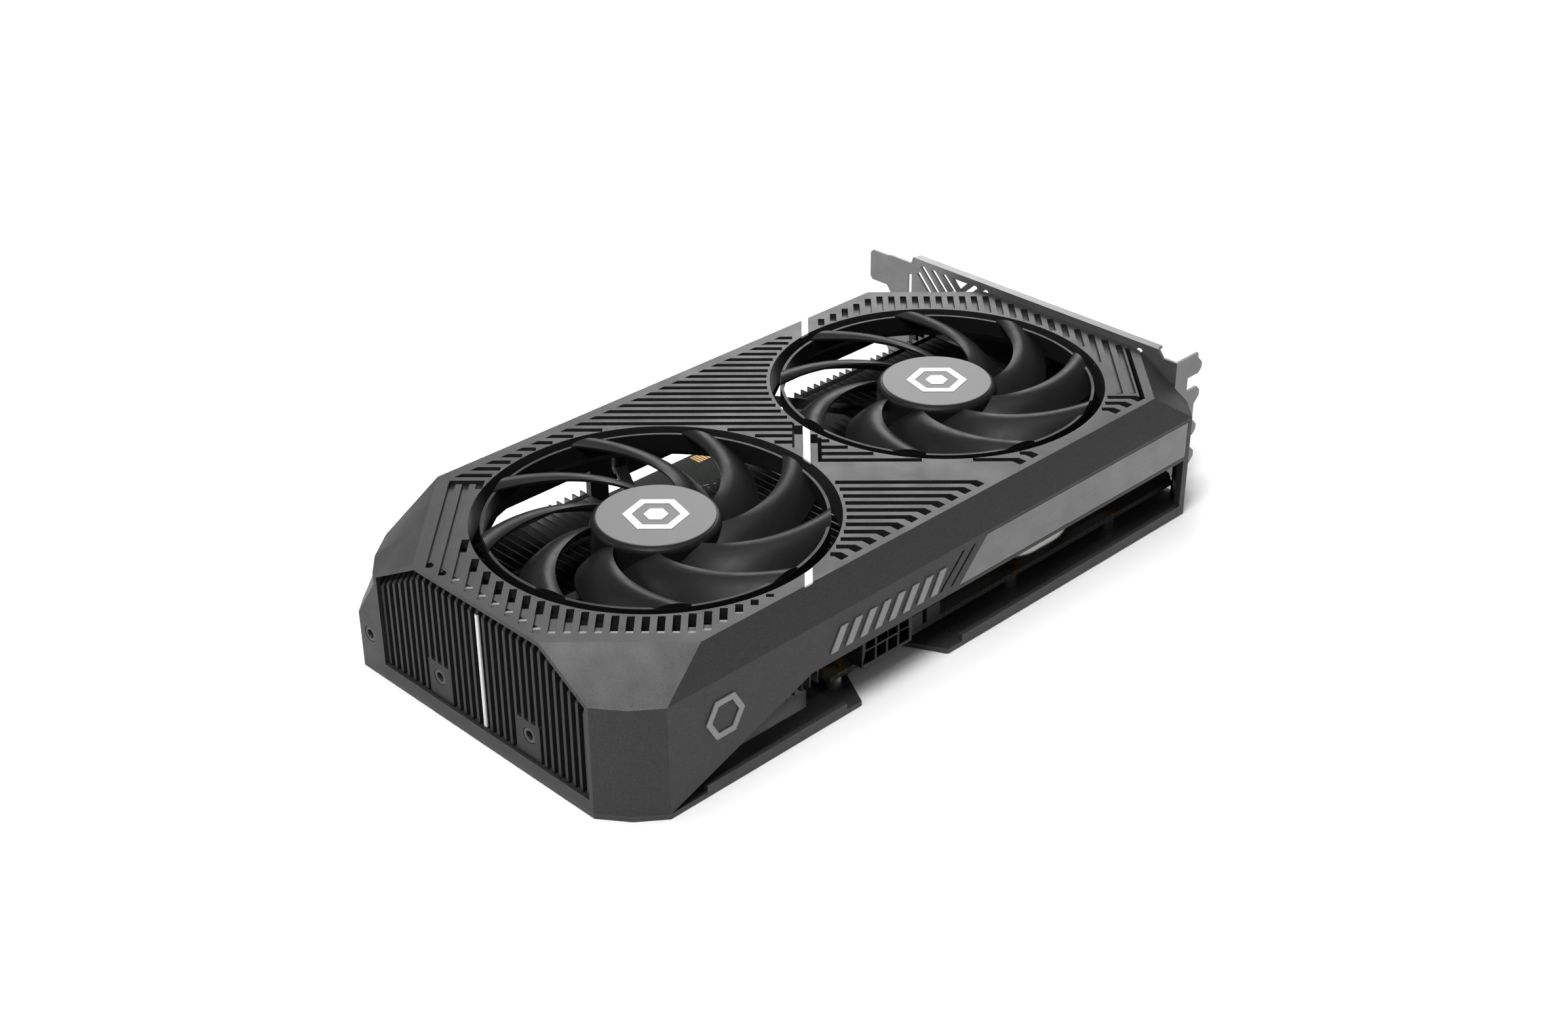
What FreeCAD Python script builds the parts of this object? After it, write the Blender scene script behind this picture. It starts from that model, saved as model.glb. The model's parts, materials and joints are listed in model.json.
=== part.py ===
import FreeCAD, Part
import math
import os
import Sketcher
from FreeCAD import Placement, Rotation, Vector

# Dual-fan graphics card lying on its backplate, fans up.
# Millimetres. X runs along the card towards the slot bracket, Y from the power header side
# towards the slot connector side, Z up. The origin is on the backplate's underside, midway
# between the two fan axes.

os.makedirs("parts", exist_ok=True)
doc = FreeCAD.newDocument("graphics_card")

# ---------------------------------------------------------------- driving dimensions

DRIVING = {
    # card envelope
    "tail_x": -111.95, "nose_x": 108.6, "front_y": -54.4, "far_y": 54.7,
    "top_front_y": -51.2, "top_z": 41.6, "mid_z": 31.5, "seam_z": 1.3,
    "wall": 2.0, "top_plate": 2.4,
    # fan openings and fans
    "fan_x": 53.35, "opening_r": 47.3, "rim_r": 48.2, "skirt_z": 33.0,
    "fan_r": 44.3, "blade_count": 9, "hub_r": 17.0, "disc_r": 15.4, "hub_low_z": 30.0,
    "hub_top_z": 40.9, "shaft_r": 1.5, "bearing_gap": 0.03, "post_r": 51.0,
    # slot pattern of the top
    "slot_wide": 1.9, "slot_pitch": 3.6, "stripe_wide": 1.92, "stripe_offset": 0.64,
    # board
    "board_x0": -38.95, "board_x1": 107.6, "board_y0": -47.6, "board_y1": 55.3,
    "board_z": 5.6, "board_thick": 1.57, "edge_y": 63.55,
    # cooler
    "fin_thick": 0.4, "fin_pitch": 2.75, "fin_top_z": 25.0, "fin_far_y": 45.8,
    "fin_front_y": -45.0, "pipe_r": 2.6, "pipe_z": 14.7, "plate_z": 9.05, "plate_thick": 3.0,
    # slot bracket
    "bracket_x": 109.0, "sheet": 0.86, "bracket_z0": 2.85, "bracket_z1": 41.6,
    "bend_y": -42.6, "tab_reach": 11.8, "notch_gap": 20.32, "tongue_wide": 10.19,
    # backplate
    "plate_sheet": 1.3, "flange_top_z": 3.2, "flange_end": 97.8,
    # grille
    "grille_pitch": 2.6, "grille_fin": 1.0,
}

sheet = doc.addObject("Spreadsheet::Sheet", "Sizes")
for row, (alias, number) in enumerate(DRIVING.items(), start=1):
    sheet.set(f"A{row}", alias)
    sheet.set(f"B{row}", str(number))
    sheet.setAlias(f"B{row}", alias)
doc.recompute()


class Size:
    """A length, known both as a number and as an expression on the sheet."""

    def __init__(self, number, text):
        self.number = float(number)
        self.text = text

    def __float__(self):
        return self.number

    def __add__(self, other):
        other = as_size(other)
        return Size(self.number + other.number, f"({self.text} + {other.text})")

    def __sub__(self, other):
        other = as_size(other)
        return Size(self.number - other.number, f"({self.text} - {other.text})")

    def __mul__(self, other):
        other = as_size(other)
        return Size(self.number * other.number, f"({self.text} * {other.text})")

    def __neg__(self):
        return Size(-self.number, f"(-1 * {self.text})")

    def __radd__(self, other):
        return as_size(other) + self

    def __rsub__(self, other):
        return as_size(other) - self

    __rmul__ = __mul__


def as_size(value):
    return value if isinstance(value, Size) else Size(value, f"({float(value)!r})")


def cell(alias):
    return Size(getattr(sheet, alias), f"Sizes.{alias}")


def num(alias):
    return float(getattr(sheet, alias))


# ---------------------------------------------------------------- feature helpers

NODES = []


def node(item, label):
    """Names a finished sub-part; its label is its file's name."""
    item.Label = label
    NODES.append(item)
    return item


def bind(item, path, size):
    size = as_size(size)
    if "Sizes." in size.text:
        item.setExpression(path, size.text)


def move(item, x, y, z, rotation=Rotation()):
    item.Placement = Placement(Vector(float(x), float(y), float(z)), rotation)
    for letter, value in zip("xyz", (x, y, z)):
        bind(item, f"Placement.Base.{letter}", value)
    return item


def box(name, x0, y0, z0, dx, dy, dz):
    item = doc.addObject("Part::Box", name)
    for side, value in (("Length", dx), ("Width", dy), ("Height", dz)):
        setattr(item, side, float(value))
        bind(item, side, value)
    return move(item, x0, y0, z0)


ALONG = {"z": Rotation(), "x": Rotation(Vector(0, 1, 0), 90), "y": Rotation(Vector(1, 0, 0), -90)}


def rod(name, x, y, z, radius, height, along="z"):
    item = doc.addObject("Part::Cylinder", name)
    for side, value in (("Radius", radius), ("Height", height)):
        setattr(item, side, float(value))
        bind(item, side, value)
    return move(item, x, y, z, ALONG[along])


def cone(name, x, y, z, low_r, high_r, height):
    item = doc.addObject("Part::Cone", name)
    for side, value in (("Radius1", low_r), ("Radius2", high_r), ("Height", height)):
        setattr(item, side, float(value))
        bind(item, side, value)
    return move(item, x, y, z)


def fuse(name, parts):
    item = doc.addObject("Part::MultiFuse", name)
    item.Shapes = parts
    item.Refine = True
    return item


def cut(name, base, tools):
    tool = tools[0] if len(tools) == 1 else fuse(name + "_tool", tools)
    item = doc.addObject("Part::Cut", name)
    item.Base = base
    item.Tool = tool
    return item


def group(name, parts):
    """Separate solids of one kind, kept together as one sub-part."""
    item = doc.addObject("Part::Compound", name)
    item.Links = parts
    return item


def shaped(name, shape):
    item = doc.addObject("Part::Feature", name)
    item.Shape = shape
    item.Placement = Placement()
    return item


def plane_of(body, role):
    return [item for item in body.Origin.OriginFeatures if item.Role == role][0]


def outline(body, name, role, lift, points):
    """A closed outline on an origin plane, each corner held by its two distances."""
    sketch = body.newObject("Sketcher::SketchObject", name)
    sketch.AttachmentSupport = [(plane_of(body, role), "")]
    sketch.MapMode = "FlatFace"
    sketch.AttachmentOffset = Placement(Vector(0, 0, float(lift)), Rotation())
    bind(sketch, "AttachmentOffset.Base.z", lift)
    corners = [Vector(float(px), float(py), 0) for px, py in points]
    count = len(corners)
    for index, corner in enumerate(corners):
        sketch.addGeometry(Part.LineSegment(corner, corners[(index + 1) % count]), False)
    for index in range(count):
        sketch.addConstraint(Sketcher.Constraint("Coincident", index, 2, (index + 1) % count, 1))
    for index, (px, py) in enumerate(points):
        for kind, value in (("DistanceX", px), ("DistanceY", py)):
            row = sketch.addConstraint(Sketcher.Constraint(kind, -1, 1, index, 1, float(value)))
            bind(sketch, f"Constraints[{row}]", value)
    return sketch


def pad(body, sketch, length, reverse=False):
    item = body.newObject("PartDesign::Pad", sketch.Name + "_pad")
    item.Profile = sketch
    item.Length = float(length)
    bind(item, "Length", length)
    item.Reversed = reverse
    return item


def pocket(body, sketch, length, reverse=False):
    item = body.newObject("PartDesign::Pocket", sketch.Name + "_pocket")
    item.Profile = sketch
    item.Length = float(length)
    bind(item, "Length", length)
    item.Reversed = reverse
    return item


def vectors(points, z=0.0):
    return [Vector(px, py, z) for px, py in points]


def polygon_face(corners):
    return Part.Face(Part.makePolygon(corners + corners[:1]))


def prism(points, z0, z1):
    """An upright prism over a plan outline."""
    return polygon_face(vectors(points, z0)).extrude(Vector(0, 0, z1 - z0))


def side_prism(points, y0, y1):
    """A prism along Y over an outline given in X and Z."""
    return polygon_face([Vector(px, y0, pz) for px, pz in points]).extrude(Vector(0, y1 - y0, 0))


def end_prism(points, x0, x1):
    """A prism along X over an outline given in Y and Z."""
    return polygon_face([Vector(x0, py, pz) for py, pz in points]).extrude(Vector(x1 - x0, 0, 0))


def inset(points, distance):
    """Moves every side of a counter-clockwise convex outline inwards."""
    moved = []
    count = len(points)
    for index, (px, py) in enumerate(points):
        before, after = points[index - 1], points[(index + 1) % count]
        normals = []
        for (ax, ay), (bx, by) in ((before, (px, py)), ((px, py), after)):
            run = math.hypot(bx - ax, by - ay)
            normals.append(((ay - by) / run, (bx - ax) / run))
        (ax, ay), (bx, by) = normals
        scale = distance / (1 + ax * bx + ay * by)
        moved.append((px + scale * (ax + bx), py + scale * (ay + by)))
    return moved


def loft(low, low_z, high, high_z):
    """Flat-sided solid between two outlines with matching corners."""
    wires = []
    for points, z in ((low, low_z), (high, high_z)):
        corners = vectors(points, z)
        wires.append(Part.makePolygon(corners + corners[:1]))
    return Part.makeLoft(wires, True, True)


def tube(points, radius, share=0.45):
    """A round tube along straight runs joined by tangent arcs."""
    route = [Vector(*point) for point in points]
    edges = []
    last = route[0]
    for before, corner, after in zip(route, route[1:], route[2:]):
        back, ahead = before - corner, after - corner
        reach = share * min(back.Length, ahead.Length)
        back.normalize()
        ahead.normalize()
        start, end = corner + back * reach, corner + ahead * reach
        turn = back.getAngle(ahead)
        to_centre = (back + ahead).normalize() * (reach / math.cos(turn / 2))
        arc_radius = reach * math.tan(turn / 2)
        middle = corner + to_centre - (back + ahead).normalize() * arc_radius
        edges.append(Part.LineSegment(last, start).toShape())
        edges.append(Part.Arc(start, middle, end).toShape())
        last = end
    edges.append(Part.LineSegment(last, route[-1]).toShape())
    path = Part.Wire(edges)
    section = Part.Wire(Part.makeCircle(radius, route[0], route[1] - route[0]))
    return path.makePipeShell([section], True, False)


# ---------------------------------------------------------------- envelope outlines

TAIL, NOSE = num("tail_x"), num("nose_x")
FRONT, FAR = num("front_y"), num("far_y")
TOP_FRONT, TOP, MID, SEAM = num("top_front_y"), num("top_z"), num("mid_z"), num("seam_z")
WALL, TOP_PLATE = num("wall"), num("top_plate")
FAN_X, OPENING, RIM = num("fan_x"), num("opening_r"), num("rim_r")

# plan of the vertical walls, counter-clockwise from the front corner of the tail
WALL_PLAN = [
    (TAIL + 12.6, FRONT), (NOSE - 7.05, FRONT), (NOSE, FRONT + 7.05), (NOSE, FAR - 7.05),
    (NOSE - 7.05, FAR), (TAIL + 13.7, FAR), (TAIL + 5.3, FAR - 6.8), (TAIL, FAR - 13.2),
    (TAIL, FRONT + 13.0), (TAIL + 5.5, FRONT + 5.6),
]
# plan of the flat top, corner for corner above the walls
FRONT_CUT, FAR_CUT = 26.45, 31.3
TOP_PLAN = [
    (TAIL + FRONT_CUT, TOP_FRONT), (NOSE - 21.9, TOP_FRONT), (NOSE, TOP_FRONT + 21.9),
    (NOSE, FAR - 25.3), (NOSE - 25.3, FAR), (TAIL + FAR_CUT, FAR),
    (TAIL + FAR_CUT / 2, FAR - FAR_CUT / 2), (TAIL, FAR - FAR_CUT),
    (TAIL, TOP_FRONT + FRONT_CUT), (TAIL + FRONT_CUT / 2, TOP_FRONT + FRONT_CUT / 2),
]
HOOD = [  # the tail face between its walls: Y and Z
    (FRONT + 13.0, SEAM), (FAR - 13.2, SEAM), (FAR - 13.2, MID), (FAR - FAR_CUT, TOP),
    (TOP_FRONT + FRONT_CUT, TOP), (FRONT + 13.0, MID),
]

# ---------------------------------------------------------------- slot pattern of the top

ROOT2 = math.sqrt(2)
PITCH, SLOT = num("slot_pitch"), num("slot_wide")
STRIPE_W = num("stripe_offset")
FANS = [(-FAN_X, "tail"), (FAN_X, "bracket")]


def skew(along, across):
    """Plan point from distances along (1, 1) and along (1, -1)."""
    return ((along + across) / ROOT2, (along - across) / ROOT2)


def rim_span(offset, fan_x):
    """Half the chord of a fan rim at a distance from the fan's axis, or None outside it."""
    gap = offset - fan_x / ROOT2
    return math.sqrt(RIM ** 2 - gap ** 2) if abs(gap) < RIM else None


def clear_spans(start, end, offset):
    """The parts of a run, at a given offset, that stay outside both fan rims."""
    spans = [(start, end)]
    for fan_x, _ in FANS:
        half = rim_span(offset, fan_x)
        if half is None:
            continue
        low, high = fan_x / ROOT2 - half, fan_x / ROOT2 + half
        kept = []
        for begin, finish in spans:
            kept += [(begin, min(finish, low)), (max(begin, high), finish)]
        spans = [(begin, finish) for begin, finish in kept if finish - begin > 0.8]
    return spans


BORDER_FRONT, BORDER_FAR = TOP_FRONT + 2.1, FAR - 3.3
TAIL_LEDGE, BRACKET_LEDGE = -22.4, 28.3  # inner ends of the floored slots, along
STRIPE_SIDE = num("stripe_wide") / 2
LEFT_GROOVE = (STRIPE_W - 3.85, STRIPE_W - 3.25)
RIGHT_GROOVE = (STRIPE_W + 2.95, STRIPE_W + 4.0)
GROOVE_FOOT = -10.9
CUT_LOW = TOP - TOP_PLATE - 0.5
CUT_HIGH = TOP + 0.5


def far_side_slots():
    """Through slots along (1, -1), between the fans and the far border."""
    slots = []
    for index in range(24):
        low = -18.75 + index * PITCH
        middle = low + SLOT / 2
        left = middle - BORDER_FAR * ROOT2
        for begin, finish in clear_spans(left, LEFT_GROOVE[0] + 0.1, middle):
            slant = SLOT if begin == left else 0.0
            slots.append([skew(low, begin - slant / 2), skew(low, finish),
                          skew(low + SLOT, finish), skew(low + SLOT, begin + slant / 2)])
    return slots


def front_side_slots():
    """Through slots along (1, -1) towards the front border, where each one turns square."""
    slots = []
    turn_y = BORDER_FRONT + 2.6
    above = [26.95 - index * PITCH for index in range(11)]
    below = [-21.05 - index * PITCH for index in range(12)]
    for high in above + below:
        low = high - SLOT
        middle = high - SLOT / 2
        right = middle - turn_y * ROOT2
        for begin, finish in clear_spans(RIGHT_GROOVE[0] + 0.1, right, middle):
            if finish < right:
                slots.append([skew(low, begin), skew(low, finish), skew(high, finish),
                              skew(high, begin)])
                continue
            low_x, high_x = low * ROOT2 - turn_y, high * ROOT2 - turn_y
            slots.append([skew(low, begin), (low_x, turn_y), (low_x, BORDER_FRONT),
                          (high_x, BORDER_FRONT), (high_x, turn_y), skew(high, begin)])
    return slots


def end_slots(side):
    """Across positions and along spans of the floored slots, tail (-1) or bracket (+1)."""
    spans = []
    for index in range(26):
        if side < 0:
            across = -91.4 + index * PITCH
            outer = max((TAIL + 2.2) * ROOT2 - across, -93.0, across + (BORDER_FRONT + 0.4) * ROOT2)
            inner, stop = TAIL_LEDGE, STRIPE_W - 2.4
        else:
            across = 91.95 - index * PITCH
            outer = min((NOSE - 1.4) * ROOT2 - across, 94.3, across + BORDER_FAR * ROOT2)
            inner, stop = BRACKET_LEDGE, STRIPE_W + 2.4
        if side * across < side * stop:
            continue
        low, high = min(outer, inner), max(outer, inner)
        for begin, finish in clear_spans(low, high, across):
            outer_part = begin == low if side < 0 else finish == high
            if outer_part or abs(across) > 78:
                spans.append((across, begin, finish, low, high))
    return spans


FLOOR_DEPTH, RAMP = 1.3, 1.1
FALL, MOUTH = 2.6, 1.3  # a tail slot's floor falls away, then opens, at the fan rim
STEP_LONG, STEP_DEPTH = 2.9, 2.0


def tail_slot(across, begin, finish, low, high):
    """A slot with a ramp at the outline and a floor that falls away at the fan rim."""
    deep = TOP - FLOOR_DEPTH
    run = [(begin, CUT_HIGH), (begin, TOP)]
    if begin == low:
        run.append((begin + RAMP, deep))
    else:
        run += [(begin, CUT_LOW), (begin + MOUTH, CUT_LOW), (begin + MOUTH + FALL, deep)]
    if finish == high:
        run.append((finish, deep))
    else:
        run += [(finish - MOUTH - FALL, deep), (finish - MOUTH, CUT_LOW), (finish, CUT_LOW)]
    if finish - begin < 2 * (MOUTH + FALL):
        run = [(begin, CUT_HIGH), (begin, CUT_LOW), (finish, CUT_LOW)]
    return slot_profile(across, run + [(finish, CUT_HIGH)])


def bracket_slot(across, begin, finish, low, high):
    """A square-ended slot with one floor, stepped down where it meets the inner rib."""
    deep = TOP - FLOOR_DEPTH
    run = [(begin, CUT_HIGH)]
    if begin == low and finish - begin > 2 * STEP_LONG:
        run += [(begin, TOP - STEP_DEPTH), (begin + STEP_LONG, TOP - STEP_DEPTH),
                (begin + STEP_LONG, deep)]
    else:
        run.append((begin, deep))
    return slot_profile(across, run + [(finish, deep), (finish, CUT_HIGH)])


def slot_profile(across, run):
    """A slot cutter from its profile along the slot: distance along and height."""
    corners = []
    for along, z in run:
        px, py = skew(along, across - SLOT / 2)
        corners.append(Vector(px, py, z))
    step = SLOT / ROOT2
    return polygon_face(corners).extrude(Vector(step, -step, 0))


def strip(across, along, low_z):
    """A straight cutter from its spans across and along the pattern."""
    (near, far), (start, end) = across, along
    return prism([skew(start, near), skew(start, far), skew(end, far), skew(end, near)],
                 low_z, CUT_HIGH)


def stripe_channels():
    """Shallow channels beside the stripe, and the grooves that join the slots' ends."""
    tools = []
    fall, shallow = 2.4, TOP - 0.8
    sides = [(LEFT_GROOVE, (LEFT_GROOVE[1] - 0.05, STRIPE_W - STRIPE_SIDE - 0.1), -2.9),
             (RIGHT_GROOVE, (STRIPE_W + STRIPE_SIDE + 0.1, RIGHT_GROOVE[0] + 0.05), GROOVE_FOOT)]
    for groove, channel, foot in sides:
        middle = sum(channel) / 2
        low, high = clear_spans(-40.0, 40.0, middle)[0]
        corners = [skew(along, channel[0]) + (z,) for along, z in (
            (low, CUT_HIGH), (low, shallow), (high - fall - MOUTH, shallow),
            (high - MOUTH, CUT_LOW), (high, CUT_LOW), (high, CUT_HIGH))]
        step = (channel[1] - channel[0]) / ROOT2
        tools.append(polygon_face([Vector(*corner) for corner in corners]).extrude(
            Vector(step, -step, 0)))
        rim_low, rim_high = clear_spans(-40.0, 40.0, groove[1])[0]
        tools.append(strip(groove, (max(foot, rim_low), rim_high), CUT_LOW))
    return tools


def slot_tools():
    tools = [prism(points, CUT_LOW, CUT_HIGH) for points in far_side_slots() + front_side_slots()]
    tools += [tail_slot(*span) for span in end_slots(-1)]
    tools += [bracket_slot(*span) for span in end_slots(1)]
    tools += stripe_channels()
    # the channel across the upper ends of the tail slots, and the one along the bracket border
    cross = TAIL_LEDGE + SLOT / 2
    left_end = -FAN_X / ROOT2 - math.sqrt(RIM ** 2 - (cross + FAN_X / ROOT2) ** 2)
    tools.append(strip((-92.3, left_end), (TAIL_LEDGE - 0.05, TAIL_LEDGE + SLOT), TOP - 1.6))
    tools.append(strip((93.5, 94.9), (24.9, 57.4), CUT_LOW))
    return tools


# ---------------------------------------------------------------- fan shroud

POST_R = num("post_r")
ARM_ANGLES = {"tail": (60, 180, 300), "bracket": (120, 240, 0)}
POST_LOW = 29.4


def post_places(fan_x, name):
    for angle in ARM_ANGLES[name]:
        turn = math.radians(angle)
        yield fan_x + POST_R * math.cos(turn), POST_R * math.sin(turn)


def stripe_bar(wide, low_z, high_z):
    middle, half = STRIPE_W, wide / 2
    return prism([skew(-90, middle - half), skew(-90, middle + half),
                  skew(90, middle + half), skew(90, middle - half)], low_z, high_z)


def shroud_outer():
    body = loft(WALL_PLAN, MID, TOP_PLAN, TOP).fuse(prism(WALL_PLAN, SEAM, MID))
    ear_plan = [(TAIL, FAR - 18.7), (TAIL + 18, FAR - 18.7), (TAIL + 18, FAR), (TAIL + 4.7, FAR),
                (TAIL + 2.35, FAR - 2.35), (TAIL, FAR - 4.7)]
    ear_high = [(TAIL, FAR - 18.7), (TAIL + 18, FAR - 18.7), (TAIL + 18, FAR), WALL_PLAN[5],
                WALL_PLAN[6], WALL_PLAN[7]]
    ear = prism(ear_plan, SEAM, 16.3).fuse(loft(ear_plan, 16.3, ear_high, 28.3))
    return body.fuse(ear).removeSplitter()


def shroud_inner():
    low = inset(WALL_PLAN, WALL)
    top = inset(TOP_PLAN, WALL)
    lower = prism(low, SEAM - 1, MID - 0.4)
    return lower.fuse(loft(low, MID - 0.4, top, TOP - TOP_PLATE))


def wall_openings():
    """Open stretches of the walls: front, far side, bracket end and tail."""
    flange_gap, flange_end = num("flange_top_z") + 0.1, num("flange_end") + 0.1
    front = side_prism([(TAIL + 12.6, 0), (TAIL + 12.6, 1.3), (-54.4, 17.6), (-52.6, 18.3),
                        (NOSE - 9.4, 18.3), (NOSE - 9.4, flange_gap),
                        (flange_end, flange_gap), (flange_end, 0)], FRONT - 1, FRONT + 6)
    far = side_prism([(-66.4, 0), (-66.4, 21.0), (-64.2, 23.4), (-60.9, 24.6), (-31.4, 24.6),
                      (-31.4, 7.4), (-25.0, 7.4), (-25.0, 18.3), (38.0, 18.3), (43.0, 24.6),
                      (NOSE - 6.5, 24.6), (NOSE - 6.5, 0)], FAR - 6, FAR + 1)
    nose = end_prism([(FRONT + 8.4, 0), (FAR - 9, 0), (FAR - 9, 20), (FAR - 14, 22),
                      (FRONT + 14, 22), (FRONT + 8.4, 18.3)], NOSE - WALL, NOSE + 1)
    sill = [(py, max(pz, 4.6)) for py, pz in inset(HOOD, 1.3)]
    tail = end_prism(sill, TAIL - 1, TAIL + 5.25)
    return [front, far, nose, tail]


TRIM = [(1.65, 19.3), (NOSE - 8.8, 19.3), (NOSE - 8.8, 30.6), (12.35, 30.6)]  # X and Z


def trim_recess():
    tools = [side_prism(TRIM, FRONT - 1, FRONT + 0.6)]
    for shift in (-3.6, -7.9):
        tools.append(side_prism([(1.9 + shift, 20.6), (2.9 + shift, 20.6), (11.6 + shift, 29.6),
                                 (10.6 + shift, 29.6)], FRONT - 1, FRONT + 0.7))
    return tools


def make_shroud():
    shell = cut("shroud_shell", shaped("shroud_outer", shroud_outer()),
                [shaped("shroud_inner", shroud_inner())])
    rims = []
    openings = []
    posts = []
    screw_holes = []
    for fan_x, name in FANS:
        side = cell("fan_x") * (1 if fan_x > 0 else -1)
        rims.append(rod(f"{name}_rim", side, 0, cell("skirt_z"), cell("rim_r"),
                        cell("top_z") - cell("skirt_z") - 0.4))
        openings.append(rod(f"{name}_opening", side, 0, cell("skirt_z") - 1, cell("opening_r"), 12))
        for index, (px, py) in enumerate(post_places(fan_x, name)):
            posts.append(rod(f"{name}_post_{index}", px, py, POST_LOW, 2.3, TOP - 1 - POST_LOW))
            screw_holes.append(rod(f"{name}_post_hole_{index}", px, py, POST_LOW - 1, 0.9, 7))
    walls = [shaped(f"wall_opening_{index}", shape) for index, shape in enumerate(wall_openings())]
    insert_hole = rod("ear_hole", TAIL - 1, 45.8, 11.3, 2.2, 9, "x")
    groove = shaped("stripe_groove", stripe_bar(num("stripe_wide") + 0.1, TOP - 0.6, TOP + 1))
    trims = [shaped(f"trim_recess_{index}", shape) for index, shape in enumerate(trim_recess())]
    full = fuse("shroud_full", [shell] + rims + posts)
    slots = shaped("top_slots", Part.makeCompound(slot_tools()))
    opened = cut("shroud_opened", full, openings + walls + [insert_hole, groove] + trims + screw_holes)
    return node(cut("shroud_slotted", opened, [slots]), "fan_shroud")


make_shroud()


def make_stripe():
    bar = stripe_bar(num("stripe_wide"), TOP - 0.55, TOP)
    bar = bar.common(prism(TOP_PLAN, TOP - 1, TOP + 1))
    for fan_x, _ in FANS:
        bar = bar.cut(Part.makeCylinder(OPENING + 0.1, 6, Vector(fan_x, 0, TOP - 3)))
    node(shaped("stripe_inlay", bar), "accent_stripe")


make_stripe()

# ---------------------------------------------------------------- end grille

GRILLE_X0, GRILLE_X1 = TAIL + 0.8, TAIL + 5.2
INSERT_PLACES = [(-17.5, 11.2), (17.5, 11.2)]  # Y and Z of the two inserts in the grille
EAR_INSERT = (45.8, 11.3)
RAIL = 1.0  # depth of the rails behind the fins
FIN_FOOT, FIN_SLANT, INLAY_DEEP = 4.9, 2.6, 0.6
FIN_WIDE, GRILLE_PITCH = num("grille_fin"), num("grille_pitch")


def hood_height(y):
    """Height of the hood's inner edge above a place across the tail."""
    edge = inset(HOOD, 1.3)
    (y1, z1), (y2, z2), (y3, z3), (y4, z4) = edge[5], edge[4], edge[3], edge[2]
    if y < y2:
        return z1 + (z2 - z1) * (y - y1) / (y2 - y1)
    if y > y3:
        return z3 + (z4 - z3) * (y - y3) / (y4 - y3)
    return z2


def grille_fin(y):
    top = min(hood_height(y - FIN_WIDE / 2), hood_height(y + FIN_WIDE / 2)) - 0.15
    profile = [(GRILLE_X0, FIN_FOOT), (GRILLE_X1, FIN_FOOT), (GRILLE_X1, top),
               (GRILLE_X0 + 2.2, top), (GRILLE_X0, top - FIN_SLANT)]
    return side_prism(profile, y - FIN_WIDE / 2, y + FIN_WIDE / 2)


def make_grille():
    """Thirty-one fins on three rails, with two blocks for the threaded inserts."""
    low_y, high_y = -15 * GRILLE_PITCH - 0.6, 15 * GRILLE_PITCH + 0.6
    pieces = [grille_fin(step * GRILLE_PITCH) for step in range(-15, 16)]
    for z, height in ((FIN_FOOT, 1.8), (17.5, 1.6), (27.4, 1.6)):
        pieces.append(Part.makeBox(RAIL, high_y - low_y, height,
                                   Vector(GRILLE_X1 - RAIL, low_y, z)))
    for y, z in INSERT_PLACES:
        pieces.append(Part.makeBox(7.4, 8.4, 10.4, Vector(GRILLE_X0, y - 4.2, z - 6.3)))
    grille = pieces[0].multiFuse(pieces[1:]).removeSplitter()
    for y, z in INSERT_PLACES:
        hole = Part.makeCylinder(2.2, 9, Vector(GRILLE_X0 - 1, y, z), Vector(1, 0, 0))
        grille = grille.cut(hole)
    foot = hood_height(0.0) - 0.15 - FIN_SLANT
    inlay = Part.makeBox(INLAY_DEEP, FIN_WIDE, foot - FIN_FOOT,
                         Vector(GRILLE_X0, -FIN_WIDE / 2, FIN_FOOT))
    node(shaped("grille_shape", grille.cut(inlay)), "end_grille")
    node(shaped("white_fin", inlay), "accent_fin")


make_grille()


def make_inserts():
    bushes = []
    for index, (y, z) in enumerate(INSERT_PLACES + [EAR_INSERT]):
        start = GRILLE_X0 if index < 2 else TAIL
        sleeve = rod(f"insert_body_{index}", start + 0.1, y, z, 2.15, 6, "x")
        hole = rod(f"insert_bore_{index}", start, y, z, 1.25, 7, "x")
        bushes.append(cut(f"insert_{index}", sleeve, [hole]))
    node(group("inserts", bushes), "threaded_inserts")


make_inserts()


def make_trim():
    plate = doc.addObject("PartDesign::Body", "trim_body")
    points = [(cell("nose_x") - 8.9, 19.4), (cell("nose_x") - 8.9, 30.5), (12.35, 30.5), (1.85, 19.4)]
    sketch = outline(plate, "trim_outline", "XZ_Plane", -cell("front_y") - 0.5, points)
    pad(plate, sketch, 0.5)
    node(plate, "side_trim_plate")


make_trim()


def hexagon(x, y, radius, turn=0.0):
    return [(x + radius * math.cos(math.radians(60 * step + turn)),
             y + radius * math.sin(math.radians(60 * step + turn))) for step in range(6)]


def slanted_bar(name, x, z, height, wide, lean):
    """A raised bar on the front wall, leaning towards the bracket."""
    points = [(x, z), (x + wide, z), (x + wide + lean, z + height), (x + lean, z + height)]
    return shaped(name, side_prism(points, FRONT - 0.4, FRONT))


def make_badges():
    """Plain raised marks on the front wall: a row of slanted bars and an open hexagon."""
    bars = [slanted_bar(f"bar_{index}", -46.0 + 5.2 * index, 21.0, 6.4, 2.4, 3.6)
            for index in range(8)]
    node(group("bars", bars), "side_bars")
    outer, inner = [side_prism(hexagon(-81.5, 20.5, radius), FRONT - 0.4, FRONT)
                    for radius in (6.2, 4.4)]
    node(shaped("hexagon", outer.cut(inner)), "corner_badge")


make_badges()

# ---------------------------------------------------------------- backplate

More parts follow.
